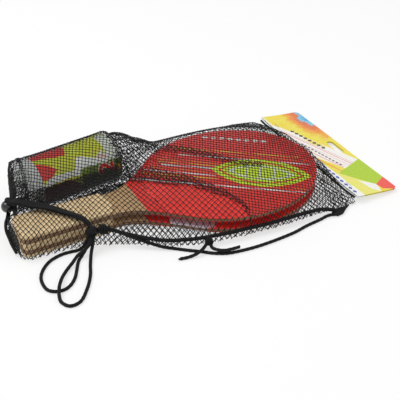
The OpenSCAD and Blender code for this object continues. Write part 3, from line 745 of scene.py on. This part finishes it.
OVER = [(-264.4, 43.4, 38.6), (-261.5, 39.5, 37.5), (-257, 35, 39), (-252.5, 30.3, 39.2), (-247.5, 25.4, 38.6),
        (-236, 18.2, 36.6), (-223, 6, 35.2), (-211, -9, 35), (-203.5, -20.5, 35), (-200.5, -25.8, 34.6),
        (-197.5, -31, 31.6), (-196, -34.5, 27.5)]
UNDER = [(-264, 43.2, 39.4), (-265.6, 45.4, 38.4), (-266.4, 46.6, 36.5), (-266.4, 46.6, 28), (-266.4, 46.6, 20),
         (-268.2, 43, 18.5), (-271.5, 36, 18), (-274.8, 29.5, 17.3), (-277, 22, 15.5), (-277.5, 11, 11.5),
         (-277.5, -2, 7.8), (-276.8, -13, 5)]
gathered("mouth_hem_over_gathers", OVER, (14.0, 7.0), (7.6, 5.8), 11, "mouth_hem_over", 21)
gathered("mouth_hem_under_gathers", UNDER, (7.0, 4.8), (5.6, 4.2), 5, "mouth_hem_under", 22)


# ---------------------------------------------------------------- net: surface under the yarn

NET_NODES = ("bag_net_top", "bag_net_grips", "bag_net_mouth", "bag_net_tube", "bag_net_shoulder")


def tree_of(names):
    verts, faces = [], []
    for n in names:
        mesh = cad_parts[n].data
        base = len(verts)
        verts += [v.co.copy() for v in mesh.vertices]
        faces += [[base + i for i in p.vertices] for p in mesh.polygons]
    return BVHTree.FromPolygons(verts, faces)


def fade(v, a, b):
    return np.clip((v - a) / (b - a), 0, 1)


class Drape:
    """The outer face of the CAD net as a smooth grid: u runs along X, v over the section.
    v is 0 above the blade's middle line and grows to the far side; both are in mm."""
    X0, X1, STEP = -273.0, 119.2, 2.6
    MN, MF = 46, 64

    def __init__(self):
        shell, ground = tree_of(NET_NODES), tree_of(("bag_net_bottom",))
        self.xs = np.linspace(self.X0, self.X1, int((self.X1 - self.X0) / self.STEP) + 1)
        rows = []
        for x in self.xs:
            wx = (x + AT[0]) * MM
            near = ground.ray_cast(Vector((wx, -0.4, 0.0005)), Vector((0, 1, 0)))[0].y / MM - AT[1]
            far = ground.ray_cast(Vector((wx, 0.4, 0.0005)), Vector((0, -1, 0)))[0].y / MM - AT[1]
            mid = (near + far) / 2 if x < -130 else (near + far) / 2 - 6
            pts = [(near, 0.6)]
            for a in np.radians(np.linspace(179.0, 1.0, 300)):
                d = Vector((0, math.cos(a), math.sin(a)))
                o = Vector((wx, (mid + AT[1]) * MM, 0.0)) + d * 0.3
                hit = shell.ray_cast(o, -d)[0]
                if hit is not None and hit.z > 0.0008:
                    pts.append((hit.y / MM - AT[1], hit.z / MM))
            pts.append((far, 0.6))
            rows.append(self.even_halves(np.array(pts)))
        g = np.array(rows)
        for _ in range(3):                       # soften facets and stations, edges kept
            g[1:-1] = 0.25 * g[:-2] + 0.5 * g[1:-1] + 0.25 * g[2:]
            g[:, 1:-1] = 0.25 * g[:, :-2] + 0.5 * g[:, 1:-1] + 0.25 * g[:, 2:]
        self.grid = np.concatenate([np.broadcast_to(self.xs[:, None, None], g.shape[:2] + (1,)), g], 2)
        self.hug()
        self.crumple()
        run = np.linalg.norm(np.diff(self.grid, axis=1), axis=2)
        self.reach_near, self.reach_far = run[:, :self.MN].sum(1), run[:, self.MN:].sum(1)

    def even_halves(self, pts):
        s = way_along(pts)
        k = np.argmax(pts[:, 0] > 0)
        f = (0 - pts[k - 1, 0]) / (pts[k, 0] - pts[k - 1, 0])
        s0 = s[k - 1] + f * (s[k] - s[k - 1])
        at = np.concatenate([np.linspace(0, s0, self.MN, endpoint=False), np.linspace(s0, s[-1], self.MF)])
        return np.stack([np.interp(at, s, pts[:, 0]), np.interp(at, s, pts[:, 1])], 1)

    def normals(self):
        du = np.gradient(self.grid, axis=0)
        dv = np.gradient(self.grid, axis=1)
        return unit(np.cross(du, dv))

    def hug(self):
        """The solid net keeps clear of the turning tube; the cloth lies on it, and dips past its end."""
        x, y, z = self.grid[..., 0], self.grid[..., 1], self.grid[..., 2]
        turn = math.radians(TUBE_TURN)
        dx, dy, up = x - TUBE_AT[0], y - TUBE_AT[1], z - TUBE_AT[2]
        s = dx * math.cos(turn) + dy * math.sin(turn)
        across = dy * math.cos(turn) - dx * math.sin(turn)
        r = np.hypot(across, up)
        angle = np.degrees(np.arctan2(up, across))
        skin = 32.9 - 0.9 * fade(s, 13, 20)
        round_it = fade(angle, -15, 5) * fade(-angle, -178, -158)
        along_it = fade(s, -20, -12) * fade(-s, -150, -119)
        w = round_it * along_it * (r > skin)
        pull = (r - skin) * 0.85 * w / np.maximum(r, 1)
        y -= across * pull
        z -= up * pull
        dip = 7.0 * fade(s, 117.5, 122) * fade(-s, -172, -135)
        z[:] = np.where(z > 28.5, np.maximum(28.5, z - dip), z)
        # the cloth bridges the blade's rim with room for the bat's slide
        for slide in (3.0, -2.0):
            under = ((x - slide) / 114.5) ** 2 + (y / 100.0) ** 2 < 1
            z[:] = np.where(under, np.maximum(z, 27.0), z)
        # the closed mouth is drawn in, so its far upper corner is round
        drawn = fade(-x, 254, 273) ** 2
        z -= drawn * 0.4 * np.maximum(z - 30, 0)
        y -= drawn * 0.25 * np.maximum(y - 55, 0)
        # the far edge spreads a little wider before the card
        y += 5.0 * fade(x, 20, 95) * fade(y, 100, 128) * fade(-x, -119, -112)

    def crumple(self):
        """Slack cloth: creases near the mouth, round the tube and before the card."""
        n = self.normals()
        x, y, z = self.grid[..., 0], self.grid[..., 1], self.grid[..., 2]
        lift = np.zeros_like(x)
        for i in range(x.shape[0]):
            for j in range(x.shape[1]):
                p = Vector((x[i, j] / 15, y[i, j] / 15, z[i, j] / 15))
                fine = noise.noise(p * 1.9 + Vector((3, 1, 7)))
                lift[i, j] = 0.7 * noise.noise(p) + 0.3 * fine
        mouth = fade(-x, 225, 250) * fade(y, 20, 45)
        valley = fade(x, -128, -116) * fade(-x, 45, 75) * fade(y, 45, 75)
        end = fade(x, 84, 112)
        skirt = fade(12 - np.minimum(z, 12), 2, 9) * 0.6
        amount = 0.15 + 1.8 * mouth + 1.6 * valley + skirt
        pleat = np.sin(y / 2.1 + 0.8 * np.sin(x / 11)) * end * 0.6 * fade(np.abs(y - 8), 40, 75)
        floor_keep = fade(z, 0.5, 4)
        self.grid = self.grid + n * ((amount * (lift + 0.15) * 1.5 + pleat) * floor_keep - 0.45)[..., None]
        self.grid[..., 2] = np.maximum(self.grid[..., 2], 0.6)
        self.norm = self.normals()

    def x_of_u(self, u):
        """The cloth is gathered before the card and towards the mouth, so u runs faster there."""
        return np.interp(u, [-290, -180, 85, 126], [self.X0 - 0.2, -180, 85, self.X1 + 0.2])

    def share_of_reach(self, u, v):
        """v as a share of the way from the middle line down to the foot, -1 to 1 on the cloth."""
        x = self.x_of_u(u)
        return np.where(v < 0, v / np.interp(x, self.xs, self.reach_near),
                        v / np.interp(x, self.xs, self.reach_far))

    def at(self, u, v, grid):
        i = np.clip((self.x_of_u(u) - self.X0) / (self.X1 - self.X0), 0, 1) * (len(self.xs) - 1)
        f = np.clip(self.share_of_reach(u, v), -1, 1)
        j = self.MN + f * np.where(f < 0, self.MN, self.MF - 1)
        i0 = np.minimum(i.astype(int), grid.shape[0] - 2)
        j0 = np.minimum(j.astype(int), grid.shape[1] - 2)
        fi, fj = (i - i0)[..., None], (j - j0)[..., None]
        return ((1 - fi) * (1 - fj) * grid[i0, j0] + fi * (1 - fj) * grid[i0 + 1, j0]
                + (1 - fi) * fj * grid[i0, j0 + 1] + fi * fj * grid[i0 + 1, j0 + 1])


drape = Drape()


def direction(deg, step):
    return np.array([math.cos(math.radians(deg)), math.sin(math.radians(deg))]) * step


def yarns(place, inside, first, second, box, thick=0.95, weave=0.28, knots=0.3, sides=5, per=2, warp=None):
    """Tubes for two families of yarns. place(u, v) gives points and normals, inside(u, v, points) a mask;
    first and second are the lattice steps; box is (u0, u1, v0, v1)."""
    lattice = np.array([first, second])
    back = np.linalg.inv(lattice)
    corners = np.array([(box[i], box[j]) for i in (0, 1) for j in (2, 3)]) @ back
    (a0, b0), (a1, b1) = np.floor(corners.min(0)).astype(int), np.ceil(corners.max(0)).astype(int)
    verts, faces, count = [], [], 0
    ang = 2 * np.pi * (np.arange(sides) + 0.5) / sides
    for family in (0, 1):
        lo, hi = ((b0, b1), (a0, a1))[family]
        c0, c1 = ((a0, a1), (b0, b1))[family]
        run = np.arange(c0 * per, c1 * per + 1) / per
        for k in range(lo, hi + 1):
            ab = np.stack([run, np.full_like(run, k)] if family == 0 else [np.full_like(run, k), run], 1)
            uv = ab @ lattice
            if warp is not None:
                uv = uv + warp(uv)
            ok = ((uv[:, 0] > box[0]) & (uv[:, 0] < box[1]) & (uv[:, 1] > box[2]) & (uv[:, 1] < box[3]))
            if ok.sum() < 2:
                continue
            pts, nor = place(uv[:, 0], uv[:, 1])
            ok &= inside(uv[:, 0], uv[:, 1], pts)
            up_down = np.cos(np.pi * run) * (1 if k % 2 == 0 else -1) * (1 if family == 0 else -1)
            pts = pts + nor * (up_down * weave)[:, None]
            radius = thick / 2 * (1 + knots * np.cos(np.pi * run) ** 8)
            edges = np.flatnonzero(np.diff(np.concatenate([[0], ok.astype(int), [0]])))
            for s, e in zip(edges[::2], edges[1::2]):
                if e - s < 2:
                    continue
                p, nn, r = pts[s:e], nor[s:e], radius[s:e]
                t = unit(np.gradient(p, axis=0))
                side = unit(np.cross(t, nn))
                up = np.cross(side, t)
                ring = (p[:, None] + side[:, None] * (r[:, None] * np.cos(ang))[..., None]
                        + up[:, None] * (r[:, None] * np.sin(ang))[..., None])
                ring[..., 2] = np.maximum(ring[..., 2], 0.02)
                verts.append(ring.reshape(-1, 3))
                faces += rings_faces(e - s, sides, False, count)
                count += (e - s) * sides
    return np.vstack(verts), faces


def in_plan(poly):
    """A mask of points whose place in plan lies inside the polygon."""
    poly = np.asarray(poly, float)

    def test(p):
        x, y = p[:, 0], p[:, 1]
        hit = np.zeros(len(p), bool)
        for (x0, y0), (x1, y1) in zip(poly, np.roll(poly, -1, 0)):
            cross = (y0 > y) != (y1 > y)
            with np.errstate(divide="ignore", invalid="ignore"):
                xi = (x1 - x0) * (y - y0) / (y1 - y0) + x0
            hit ^= cross & (x < xi)
        return hit
    return test


# the cloth's folded edge over the blades: the near part lies on top of the far part
FOLD = [(-300, 26), (-200, 26), (-150, 31), (-122, 41), (-101, 27), (-79, 10), (-55, -6), (-42, -25), (-26, -50),
        (-20, -70), (-23, -91), (-20, -130)]
near_side = in_plan(FOLD + [(-300, -130)])
TUBE_NET = direction(-21, 4.0), direction(69, 4.2)
FAR_NET = direction(-42, 3.75), direction(62, 5.7)
GRIP_NET = direction(36, 5.8), direction(-79, 6.6)
NEAR_NET = direction(33, 6.9), direction(-84, 7.2)
WHOLE = (-290, 126, -140.0, 235.0)


def at_height(lift):
    def place(u, v):
        nor = unit(drape.at(u, v, drape.norm))
        return drape.at(u, v, drape.grid) + nor * lift, nor
    return place


def wander(amount, size, where, seed):
    """Yarns drift in the plane of the cloth where it is slack."""
    def warp(uv):
        w = where(uv[:, 0], uv[:, 1]) * amount
        du = np.array([noise.noise(Vector((a / size, b / size, seed))) for a, b in uv])
        dv = np.array([noise.noise(Vector((a / size, b / size, seed + 9.0))) for a, b in uv])
        return np.stack([du, dv], 1) * w[:, None]
    return warp


def slack(u, v):
    x = drape.x_of_u(u)
    valley = (x > -128) & (x < -40) & (v > 45)
    return 0.15 + np.clip((-225 - x) / 25, 0, 1) + 0.8 * valley + 0.5 * (x > 95)


def layer(name, nodes, masks, place, lattice, held, rests, box=WHOLE, body="bag", relaxed=0.75, **looks):
    """One net piece: masks are joined. relaxed, the share of the covered width meant as the cut's width, is not
    used."""
    on_bag = box is WHOLE

    def inside(u, v, p):
        ok = np.ones(len(u), bool)
        if on_bag:
            ok = (np.abs(drape.share_of_reach(u, v)) <= 1) & (u > WHOLE[0]) & (u < WHOLE[1])
        for m in masks:
            ok &= m(p)
        return ok

    verts, faces = yarns(place, inside, *lattice, box, **looks)
    obj = make_mesh(name, row(verts), faces, [NET])
    settle(obj, body, "net", *nodes)
    step = 2.0
    uu, vv = np.meshgrid(np.arange(box[0], box[1], step), np.arange(box[2], box[3], step), indexing="ij")
    uu, vv = uu.ravel(), vv.ravel()
    p = place(uu, vv)[0]
    cell = np.linalg.norm(np.cross(place(uu + step, vv)[0] - p, place(uu, vv + step)[0] - p), axis=1)
    ok = inside(uu, vv, p)


far_side = lambda p: ~near_side(p + 5.0)
between = lambda lo, hi: (lambda p: (p[:, 0] >= lo) & (p[:, 0] < hi))
warp_far, warp_near = wander(2.6, 9.0, slack, 1.0), wander(1.2, 14.0, slack, 2.0)

layer("net_over_tube", ("bag_net_mouth", "bag_net_tube"), [far_side, between(-400, -121)], at_height(0.0),
      TUBE_NET, "draped", ["tube_label", "tube_lid"], warp=warp_far, thick=0.72)
layer("net_over_shoulder", ("bag_net_shoulder",), [far_side, between(-123, -39)], at_height(0.0), FAR_NET,
      "draped", ["tube_base", "upper_bat_core"], warp=warp_far, thick=0.72)
layer("net_over_blades", ("bag_net_top",), [far_side, between(-41, 400)], at_height(0.0), FAR_NET,
      "draped", ["upper_bat_core"], warp=warp_far, thick=0.70)
layer("net_over_handles", ("bag_net_grips",), [near_side, between(-400, -108)], at_height(0.75), GRIP_NET,
      "draped", ["upper_bat_grip_top"], warp=warp_near, thick=0.82, relaxed=0.6)
layer("net_over_near_blade", (), [near_side, between(-110, 400)], at_height(0.75), NEAR_NET,
      "draped", ["upper_bat_core"], warp=warp_near, thick=0.80, relaxed=0.56)

# doubled strips where the cloth is folded over
LENS = [(-124, 43), (-101, 27), (-79, 10), (-55, -6), (-42, -25), (-26, -50), (-22, -46), (-34, -18), (-48, 8),
        (-62, 24), (-84, 50), (-118, 74)]
FOLD_STRIP = [(-72, 92), (-40, 90), (-22, 74), (-4, 52), (12, 30), (28, 10), (46, -4), (40, -14), (20, -2), (2, 18),
              (-12, 38), (-28, 58), (-46, 74), (-70, 82)]
lens, fold_strip = in_plan(LENS), in_plan(FOLD_STRIP)
folded = lambda p: lens(p) | fold_strip(p)
everywhere = lambda u, v: np.ones_like(u)
layer("net_folds", (), [folded], at_height(0.9), (direction(33, 5.9), direction(-84, 5.9)), "folded",
      ["net_over_blades"], warp=wander(1.6, 12.0, everywhere, 4.0), thick=0.8, relaxed=0.45)

# slack cloth bunched at the mouth, in the valley beside the tube, in the dip past it, and before the card; the
# dense valley layer also darkens the gap beside the tube as painted shade
mouth_bunch = lambda p: (p[:, 1] > 26) & ((p[:, 0] + 246.5) * 0.988 + (p[:, 1] - 71.5) * 0.156 < 0)
valley_bunch_and_shade = in_plan([(-262, 24), (-200, 25), (-150, 29), (-112, 40), (-112, 54), (-150, 52), (-200, 46),
                        (-250, 40)])
dip_bunch = in_plan([(-126, 56), (-112, 52), (-92, 64), (-70, 84), (-50, 98), (-60, 112), (-100, 118),
                     (-124, 108)])
layer("net_slack_mouth", (), [mouth_bunch], at_height(-1.3), (direction(14, 6.2), direction(-70, 6.0)),
      "gathered", ["net_over_tube"], warp=wander(4.5, 7.0, everywhere, 6.0), thick=0.75, relaxed=0.5)
hem_bunch = in_plan([(-272, 47), (-258, 38), (-240, 24), (-225, 26), (-236, 36), (-252, 52), (-262, 62),
                     (-272, 66)])
layer("net_slack_hem", (), [hem_bunch], at_height(0.7), (direction(12, 2.5), direction(-72, 2.9)), "gathered",
      ["net_over_tube"], warp=wander(2.5, 6.0, everywhere, 3.0), thick=0.8, relaxed=0.9)
mouth_folds = lambda p: (p[:, 1] > 28) & (p[:, 1] < 92) & (np.abs(p[:, 0] + 241 - 0.12 * (p[:, 1] - 60)) < 2.6)
layer("net_mouth_fold", (), [mouth_folds], at_height(0.9), (direction(8, 2.6), direction(-80, 2.4)),
      "folded", ["net_over_tube"], warp=wander(2.5, 6.0, everywhere, 2.5), thick=0.8, relaxed=0.9)
layer("net_slack_valley_and_shade", (), [valley_bunch_and_shade], at_height(-1.2),
      (direction(12, 2.6), direction(-75, 3.1)), "gathered", ["net_over_handles"],
      warp=wander(2.0, 8.0, everywhere, 5.0), thick=0.95, relaxed=1.0)
layer("net_slack_dip", (), [dip_bunch], at_height(-1.4),
      (direction(20, 4.6), direction(-72, 5.0)), "gathered", ["net_over_shoulder"],
      warp=wander(3.5, 8.0, everywhere, 7.0), thick=0.85, relaxed=0.7)
off_blade = lambda p: (p[:, 0] / 112) ** 2 + (p[:, 1] / 98) ** 2 > 1.12
card_bunch = lambda p: (p[:, 0] > 84) & (p[:, 0] < 110) & (p[:, 1] < 60) & off_blade(p)
layer("net_slack_card", (), [card_bunch], at_height(0.5), (direction(-40, 6.0), direction(60, 7.6)),
      "gathered", ["net_over_blades"], warp=wander(1.0, 7.0, everywhere, 8.0), thick=0.66, relaxed=0.4)


# lower layer, flat on the ground
near_foot = lambda x: np.interp(x, drape.xs, drape.grid[:, 0, 1])
far_foot = lambda x: np.interp(x, drape.xs, drape.grid[:, -1, 1])


def facing(u, normal):
    return np.broadcast_to(np.asarray(normal, float), (len(u), 3)).copy()


def on_ground(u, v):
    return np.stack([u, v, np.full_like(u, 0.62)], 1), facing(u, (0, 0, 1))


in_foot = lambda p: ((p[:, 0] > -273.8) & (p[:, 0] < 119.3) & (p[:, 1] > near_foot(p[:, 0]) + 0.3)
                     & (p[:, 1] < far_foot(p[:, 0]) - 0.3))
layer("net_under", ("bag_net_bottom",), [in_foot], on_ground, (direction(35, 6.4), direction(-85, 6.6)),
      "laid", ["net_over_blades"], box=(-275, 120, -106, 150), thick=0.98, weave=0.1, knots=0.15, relaxed=0.62)

# slack of the lower layer pushed up on the ground between the tube and the handles; its dense dark yarn also stands
# in for painted shade in that gap
floor_bunch_and_shade = in_plan([(-262, 25.5), (-160, 25.5), (-150, 24), (-135, 28), (-122, 37), (-108, 50),
                       (-102, 62), (-118, 72), (-262, 52)])


def bunched_on_ground(u, v):
    z = np.array([2.4 + 2.2 * noise.noise(Vector((a / 9, b / 5, 2.0))) for a, b in zip(u, v)])
    return np.stack([u, v, np.clip(z, 1.2, 4.0)], 1), facing(u, (0, 0, 1))


layer("net_slack_floor_and_shade", (), [floor_bunch_and_shade], bunched_on_ground,
      (direction(9, 2.3), direction(-76, 2.5)), "gathered", ["net_under"], box=(-264, -100, 24, 76),
      warp=wander(2.0, 7.0, everywhere, 9.0), thick=0.95, relaxed=1.0)

# net over the end of the handles
end_section = drape.grid[0]
end_top = lambda y: np.interp(y, end_section[:, 1], end_section[:, 2], left=0, right=0)


def over_end(u, v):
    bulge = 0.6 * np.sin(np.clip(v / 31, 0, 1) * np.pi)
    return np.stack([-273.7 - bulge, u, np.maximum(v, 0.6)], 1), facing(u, (-1, 0, 0))


end_face = lambda p: (p[:, 2] > 0.7) & (p[:, 2] < end_top(p[:, 1]) + 0.4)
layer("net_over_end", ("bag_net_end",), [end_face], over_end, (direction(38, 4.6), direction(-38, 4.6)),
      "draped", ["net_over_handles"], box=(-27, 33, 0, 34), thick=0.9, relaxed=0.75)

# the net's end inside the folded card
TILT = math.radians(5)


def on_card(a, b, up):
    """A point on the card: a out from the hinge, b along it, up from its middle plane."""
    return np.stack([CARD_HINGE[0] + a * math.cos(TILT) + up * math.sin(TILT), CARD_HINGE[1] + b,
                     CARD_HINGE[2] - a * math.sin(TILT) + up * math.cos(TILT)], -1)


def in_card(u, v):
    return on_card(u, v, np.zeros_like(u)), facing(u, (math.sin(TILT), 0, math.cos(TILT)))


layer("net_in_card", ("net_end_flap",), [lambda p: p[:, 0] > 0], in_card,
      (direction(-42, 2.5), direction(62, 3.3)), "laid", ["header_card"], box=(0.8, 34.4, -110.8, 110.8),
      body="card", thick=0.72, weave=0.1, knots=0.1, relaxed=1.0)


# ---------------------------------------------------------------- hems

def fold_line(points, lift):
    """A line in plan laid on the net's surface."""
    out = []
    tree = tree_of(NET_NODES)
    for x, y in points:
        hit = tree.ray_cast(Vector(((x + AT[0]) * MM, (y + AT[1]) * MM, 0.2)), Vector((0, 0, -1)))[0]
        out.append((x, y, hit.z / MM + lift))
    return np.array(out)


edge_of_fold = fold_line(evenly(np.array([(x, y, 0.0) for x, y in FOLD[3:-1]]), 6)[:, :2], 0.9)
fold_cord = (curve_through(edge_of_fold, 0.9), 0.6, {"sides": 8, "relief": twist(4, 3.6, 0.2)})
settle(tubes("net_fold_edge", [fold_cord], [NET]), "bag", "net")

hem_y = np.linspace(CARD_HINGE[1] - 110, CARD_HINGE[1] + 108, 60)
hem = np.stack([118.3 + 0.4 * np.sin(hem_y / 9.0), hem_y, 8.9 + 0.35 * np.sin(hem_y / 6.1)], 1)
hem_relief = lambda s, a: 1 + 0.12 * np.cos(2 * np.pi * s / 2.3 + np.sin(a)) + 0.08 * np.sin(s * 0.41 + 2 * a)
hem_parts = [(curve_through(hem, 0.6), 1.5, {"sides": 14, "flat": 0.7, "relief": hem_relief}),
             (curve_through(hem + [0.3, 0, 1.1], 0.8), 0.45, {"sides": 6})]
settle(tubes("card_end_hem_overlock", hem_parts, [BINDING]), "bag", "binding", "card_end_hem")


# ---------------------------------------------------------------- pieces made from the CAD solids

def from_node(name, node, material, bevel=0.0, segments=2, sharp=32.0, cuts=(), move=None):
    """A copy of a CAD solid with clean faces, softened edges and, where asked, finer cuts and a small bend."""
    bm = bmesh.new()
    bm.from_mesh(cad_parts[node].data)
    bmesh.ops.remove_doubles(bm, verts=bm.verts, dist=2e-6)
    bmesh.ops.dissolve_limit(bm, angle_limit=math.radians(0.6), verts=bm.verts, edges=bm.edges)
    if bevel:
        edges = [e for e in bm.edges if len(e.link_faces) == 2 and e.calc_face_angle(0) > math.radians(50)]
        bmesh.ops.bevel(bm, geom=edges, offset=bevel * MM, offset_type="OFFSET", segments=segments, profile=0.5,
                        affect="EDGES", clamp_overlap=True)
    for origin, normal in cuts:
        bmesh.ops.bisect_plane(bm, geom=bm.verts[:] + bm.edges[:] + bm.faces[:], plane_co=row(origin),
                               plane_no=normal)
    if cuts:
        bmesh.ops.triangulate(bm, faces=[f for f in bm.faces if len(f.verts) > 4])
    if move:
        for v in bm.verts:
            v.co = Vector(row(move(np.array(v.co) / MM - AT)))
    for e in bm.edges:
        e.smooth = len(e.link_faces) == 2 and e.calc_face_angle(0) < math.radians(sharp)
    for f in bm.faces:
        f.smooth = True
    mesh = bpy.data.meshes.new(name)
    bm.to_mesh(mesh)
    bm.free()
    mesh.materials.append(material)
    obj = bpy.data.objects.new(name, mesh)
    scene.collection.objects.link(obj)
    return obj


def paint(node, material):
    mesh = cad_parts[node].data
    mesh.materials.clear()
    mesh.materials.append(material)


for side, base in (("upper", 15.7), ("lower", 1.4)):
    low, high = base + 4.0, base + 10.0
    print_it = upper_print if side == "upper" else lower_print
    wood = blade_material(side + "_blade_print", high, low, print_it)
    settle(from_node(side + "_bat_blade", side + "_bat_core", wood, 0.45, 3), side + "_bat", "blade_core",
           side + "_bat_core")
    for part in ("top", "bottom"):
        node = f"{side}_bat_grip_{part}"
        settle(from_node(node + "_scale", node, GRIP, 1.1, 4), side + "_bat", "grip_wood", node)

for node, material in (("mouth_bead", BEAD), ("staples", STAPLE), ("tube_wall", WALL), ("tube_base", BASE),
                       ("tube_label", LABEL), ("tube_lid", LID), ("front_shuttle_nose", NOSE),
                       ("rear_shuttle_nose", NOSE), ("front_shuttle_band", BAND), ("rear_shuttle_band", BAND),
                       ("front_shuttle_skirt", SKIRT), ("rear_shuttle_skirt", SKIRT)):
    paint(node, material)


def card_wave(p):
    """The open edge lifts a little between the staples."""
    a, b = p[0] - CARD_HINGE[0], p[1] - CARD_HINGE[1]
    lift = 0.85 * math.sin(math.pi * (b + 84) / 56) ** 2 * max(0.0, 1 - a / 34) ** 1.5
    return p + np.array([0, 0, lift + 0.25 * math.sin(b / 23.0) * min(1.0, max(0.0, a / 20))])


cuts = [((CARD_HINGE[0] + a, 0, 0), (1, 0, 0)) for a in range(5, 60, 6)]
cuts += [((0, CARD_HINGE[1] + b, 0), (0, 1, 0)) for b in range(-108, 112, 6)]
settle(from_node("header_card_sheet", "header_card", CARD, 0.0, cuts=cuts, move=card_wave), "card", "card",
       "header_card")


def tab_rumple(p):
    q = Vector((p[0] / 4, p[1] / 4, p[2] / 4))
    rise = 0.7 * noise.noise(q + Vector((0, 5, 0))) + 0.25 * math.sin((p[0] + p[1]) * 1.6)
    return p + np.array([0.5 * noise.noise(q), 0.5 * noise.noise(q + Vector((5, 0, 0))), rise * (p[2] > 2.0)])


cuts = [((x, 0, 0), (1, 0, 0)) for x in range(81, 110)]
cuts += [((0, y, 0), (0, 1, 0)) for y in range(-116, -104)]
settle(from_node("corner_tab_folded", "corner_tab", BINDING, 0.7, 3, 60.0, cuts, tab_rumple), "bag", "binding",
       "corner_tab")


# the printed figure on the label, a stroke of even width laid on the curve
def figure_two(size, wide):
    """Centreline of a plain 2, upright in (x, y), size high."""
    a = np.radians(np.linspace(165, -42, 16))
    r = size * 0.27
    bow = np.stack([r * np.cos(a), size * 0.73 + r * np.sin(a)], 1)
    foot = np.array([(-r * 1.05, wide / 2), (-r * 0.4, wide / 2), (r * 0.4, wide / 2), (r * 1.15, wide / 2)])
    return np.vstack([bow, bow[-1] + (foot[0] - bow[-1]) * np.linspace(0.15, 1, 8)[:, None], foot[1:]])


def on_label(s, t, r):
    """Round the tube: s along it from its lidded end, t the angle from its far side, in degrees."""
    turn = math.radians(TUBE_TURN)
    ax = np.array([math.cos(turn), math.sin(turn), 0])
    nn = np.array([-ax[1], ax[0], 0])
    t = np.radians(t)[:, None]
    return TUBE_AT + np.outer(s, ax) + r * (np.cos(t) * nn + np.sin(t) * np.array([0, 0, 1.0]))


def label_figure(name, wide, lifts, colours):
    radius = 30.4
    line = figure_two(19.0, 4.6)
    if wide > 5:                                     # the backing reaches past both ends of the stroke
        line = np.vstack([line[0] + unit(line[0] - line[1]) * 0.7, line,
                          line[-1] + unit(line[-1] - line[-2]) * 0.7])
    t = unit(np.gradient(line, axis=0))
    side = np.stack([-t[:, 1], t[:, 0]], 1) * wide / 2
    rows = []
    for lift in lifts:
        for e in (-1, -0.33, 0.33, 1):
            q = line + side * e
            # the figure's top points to the lid and its right side up the tube
            rows.append(on_label(105.0 - q[:, 1], 171.0 - q[:, 0] / radius * 180 / math.pi, radius + lift))
    n = len(line)
    verts = np.stack(rows, 1).reshape(-1, 3)            # n points of 8: lower row, upper row
    loop = [0, 1, 2, 3, 7, 6, 5, 4]
    faces = [(i + loop[j - 7], i + loop[j], i + 8 + loop[j], i + 8 + loop[j - 7])
             for i in range(0, 8 * (n - 1), 8) for j in range(8)]
    faces += [tuple(loop), tuple((n - 1) * 8 + m for m in reversed(loop))]
    ink = speckled(name + "_ink", *colours, 0.35, 900)
    return settle(make_mesh(name, row(verts), faces, [ink], smooth=False), "tube", "tube_label")


label_figure("label_figure_edge", 6.2, (0.0, 0.07), ((0.86, 0.86, 0.82), (0.78, 0.78, 0.74)))
label_figure("label_figure", 4.6, (0.02, 0.13), ((0.80, 0.03, 0.02), (0.70, 0.022, 0.016)))
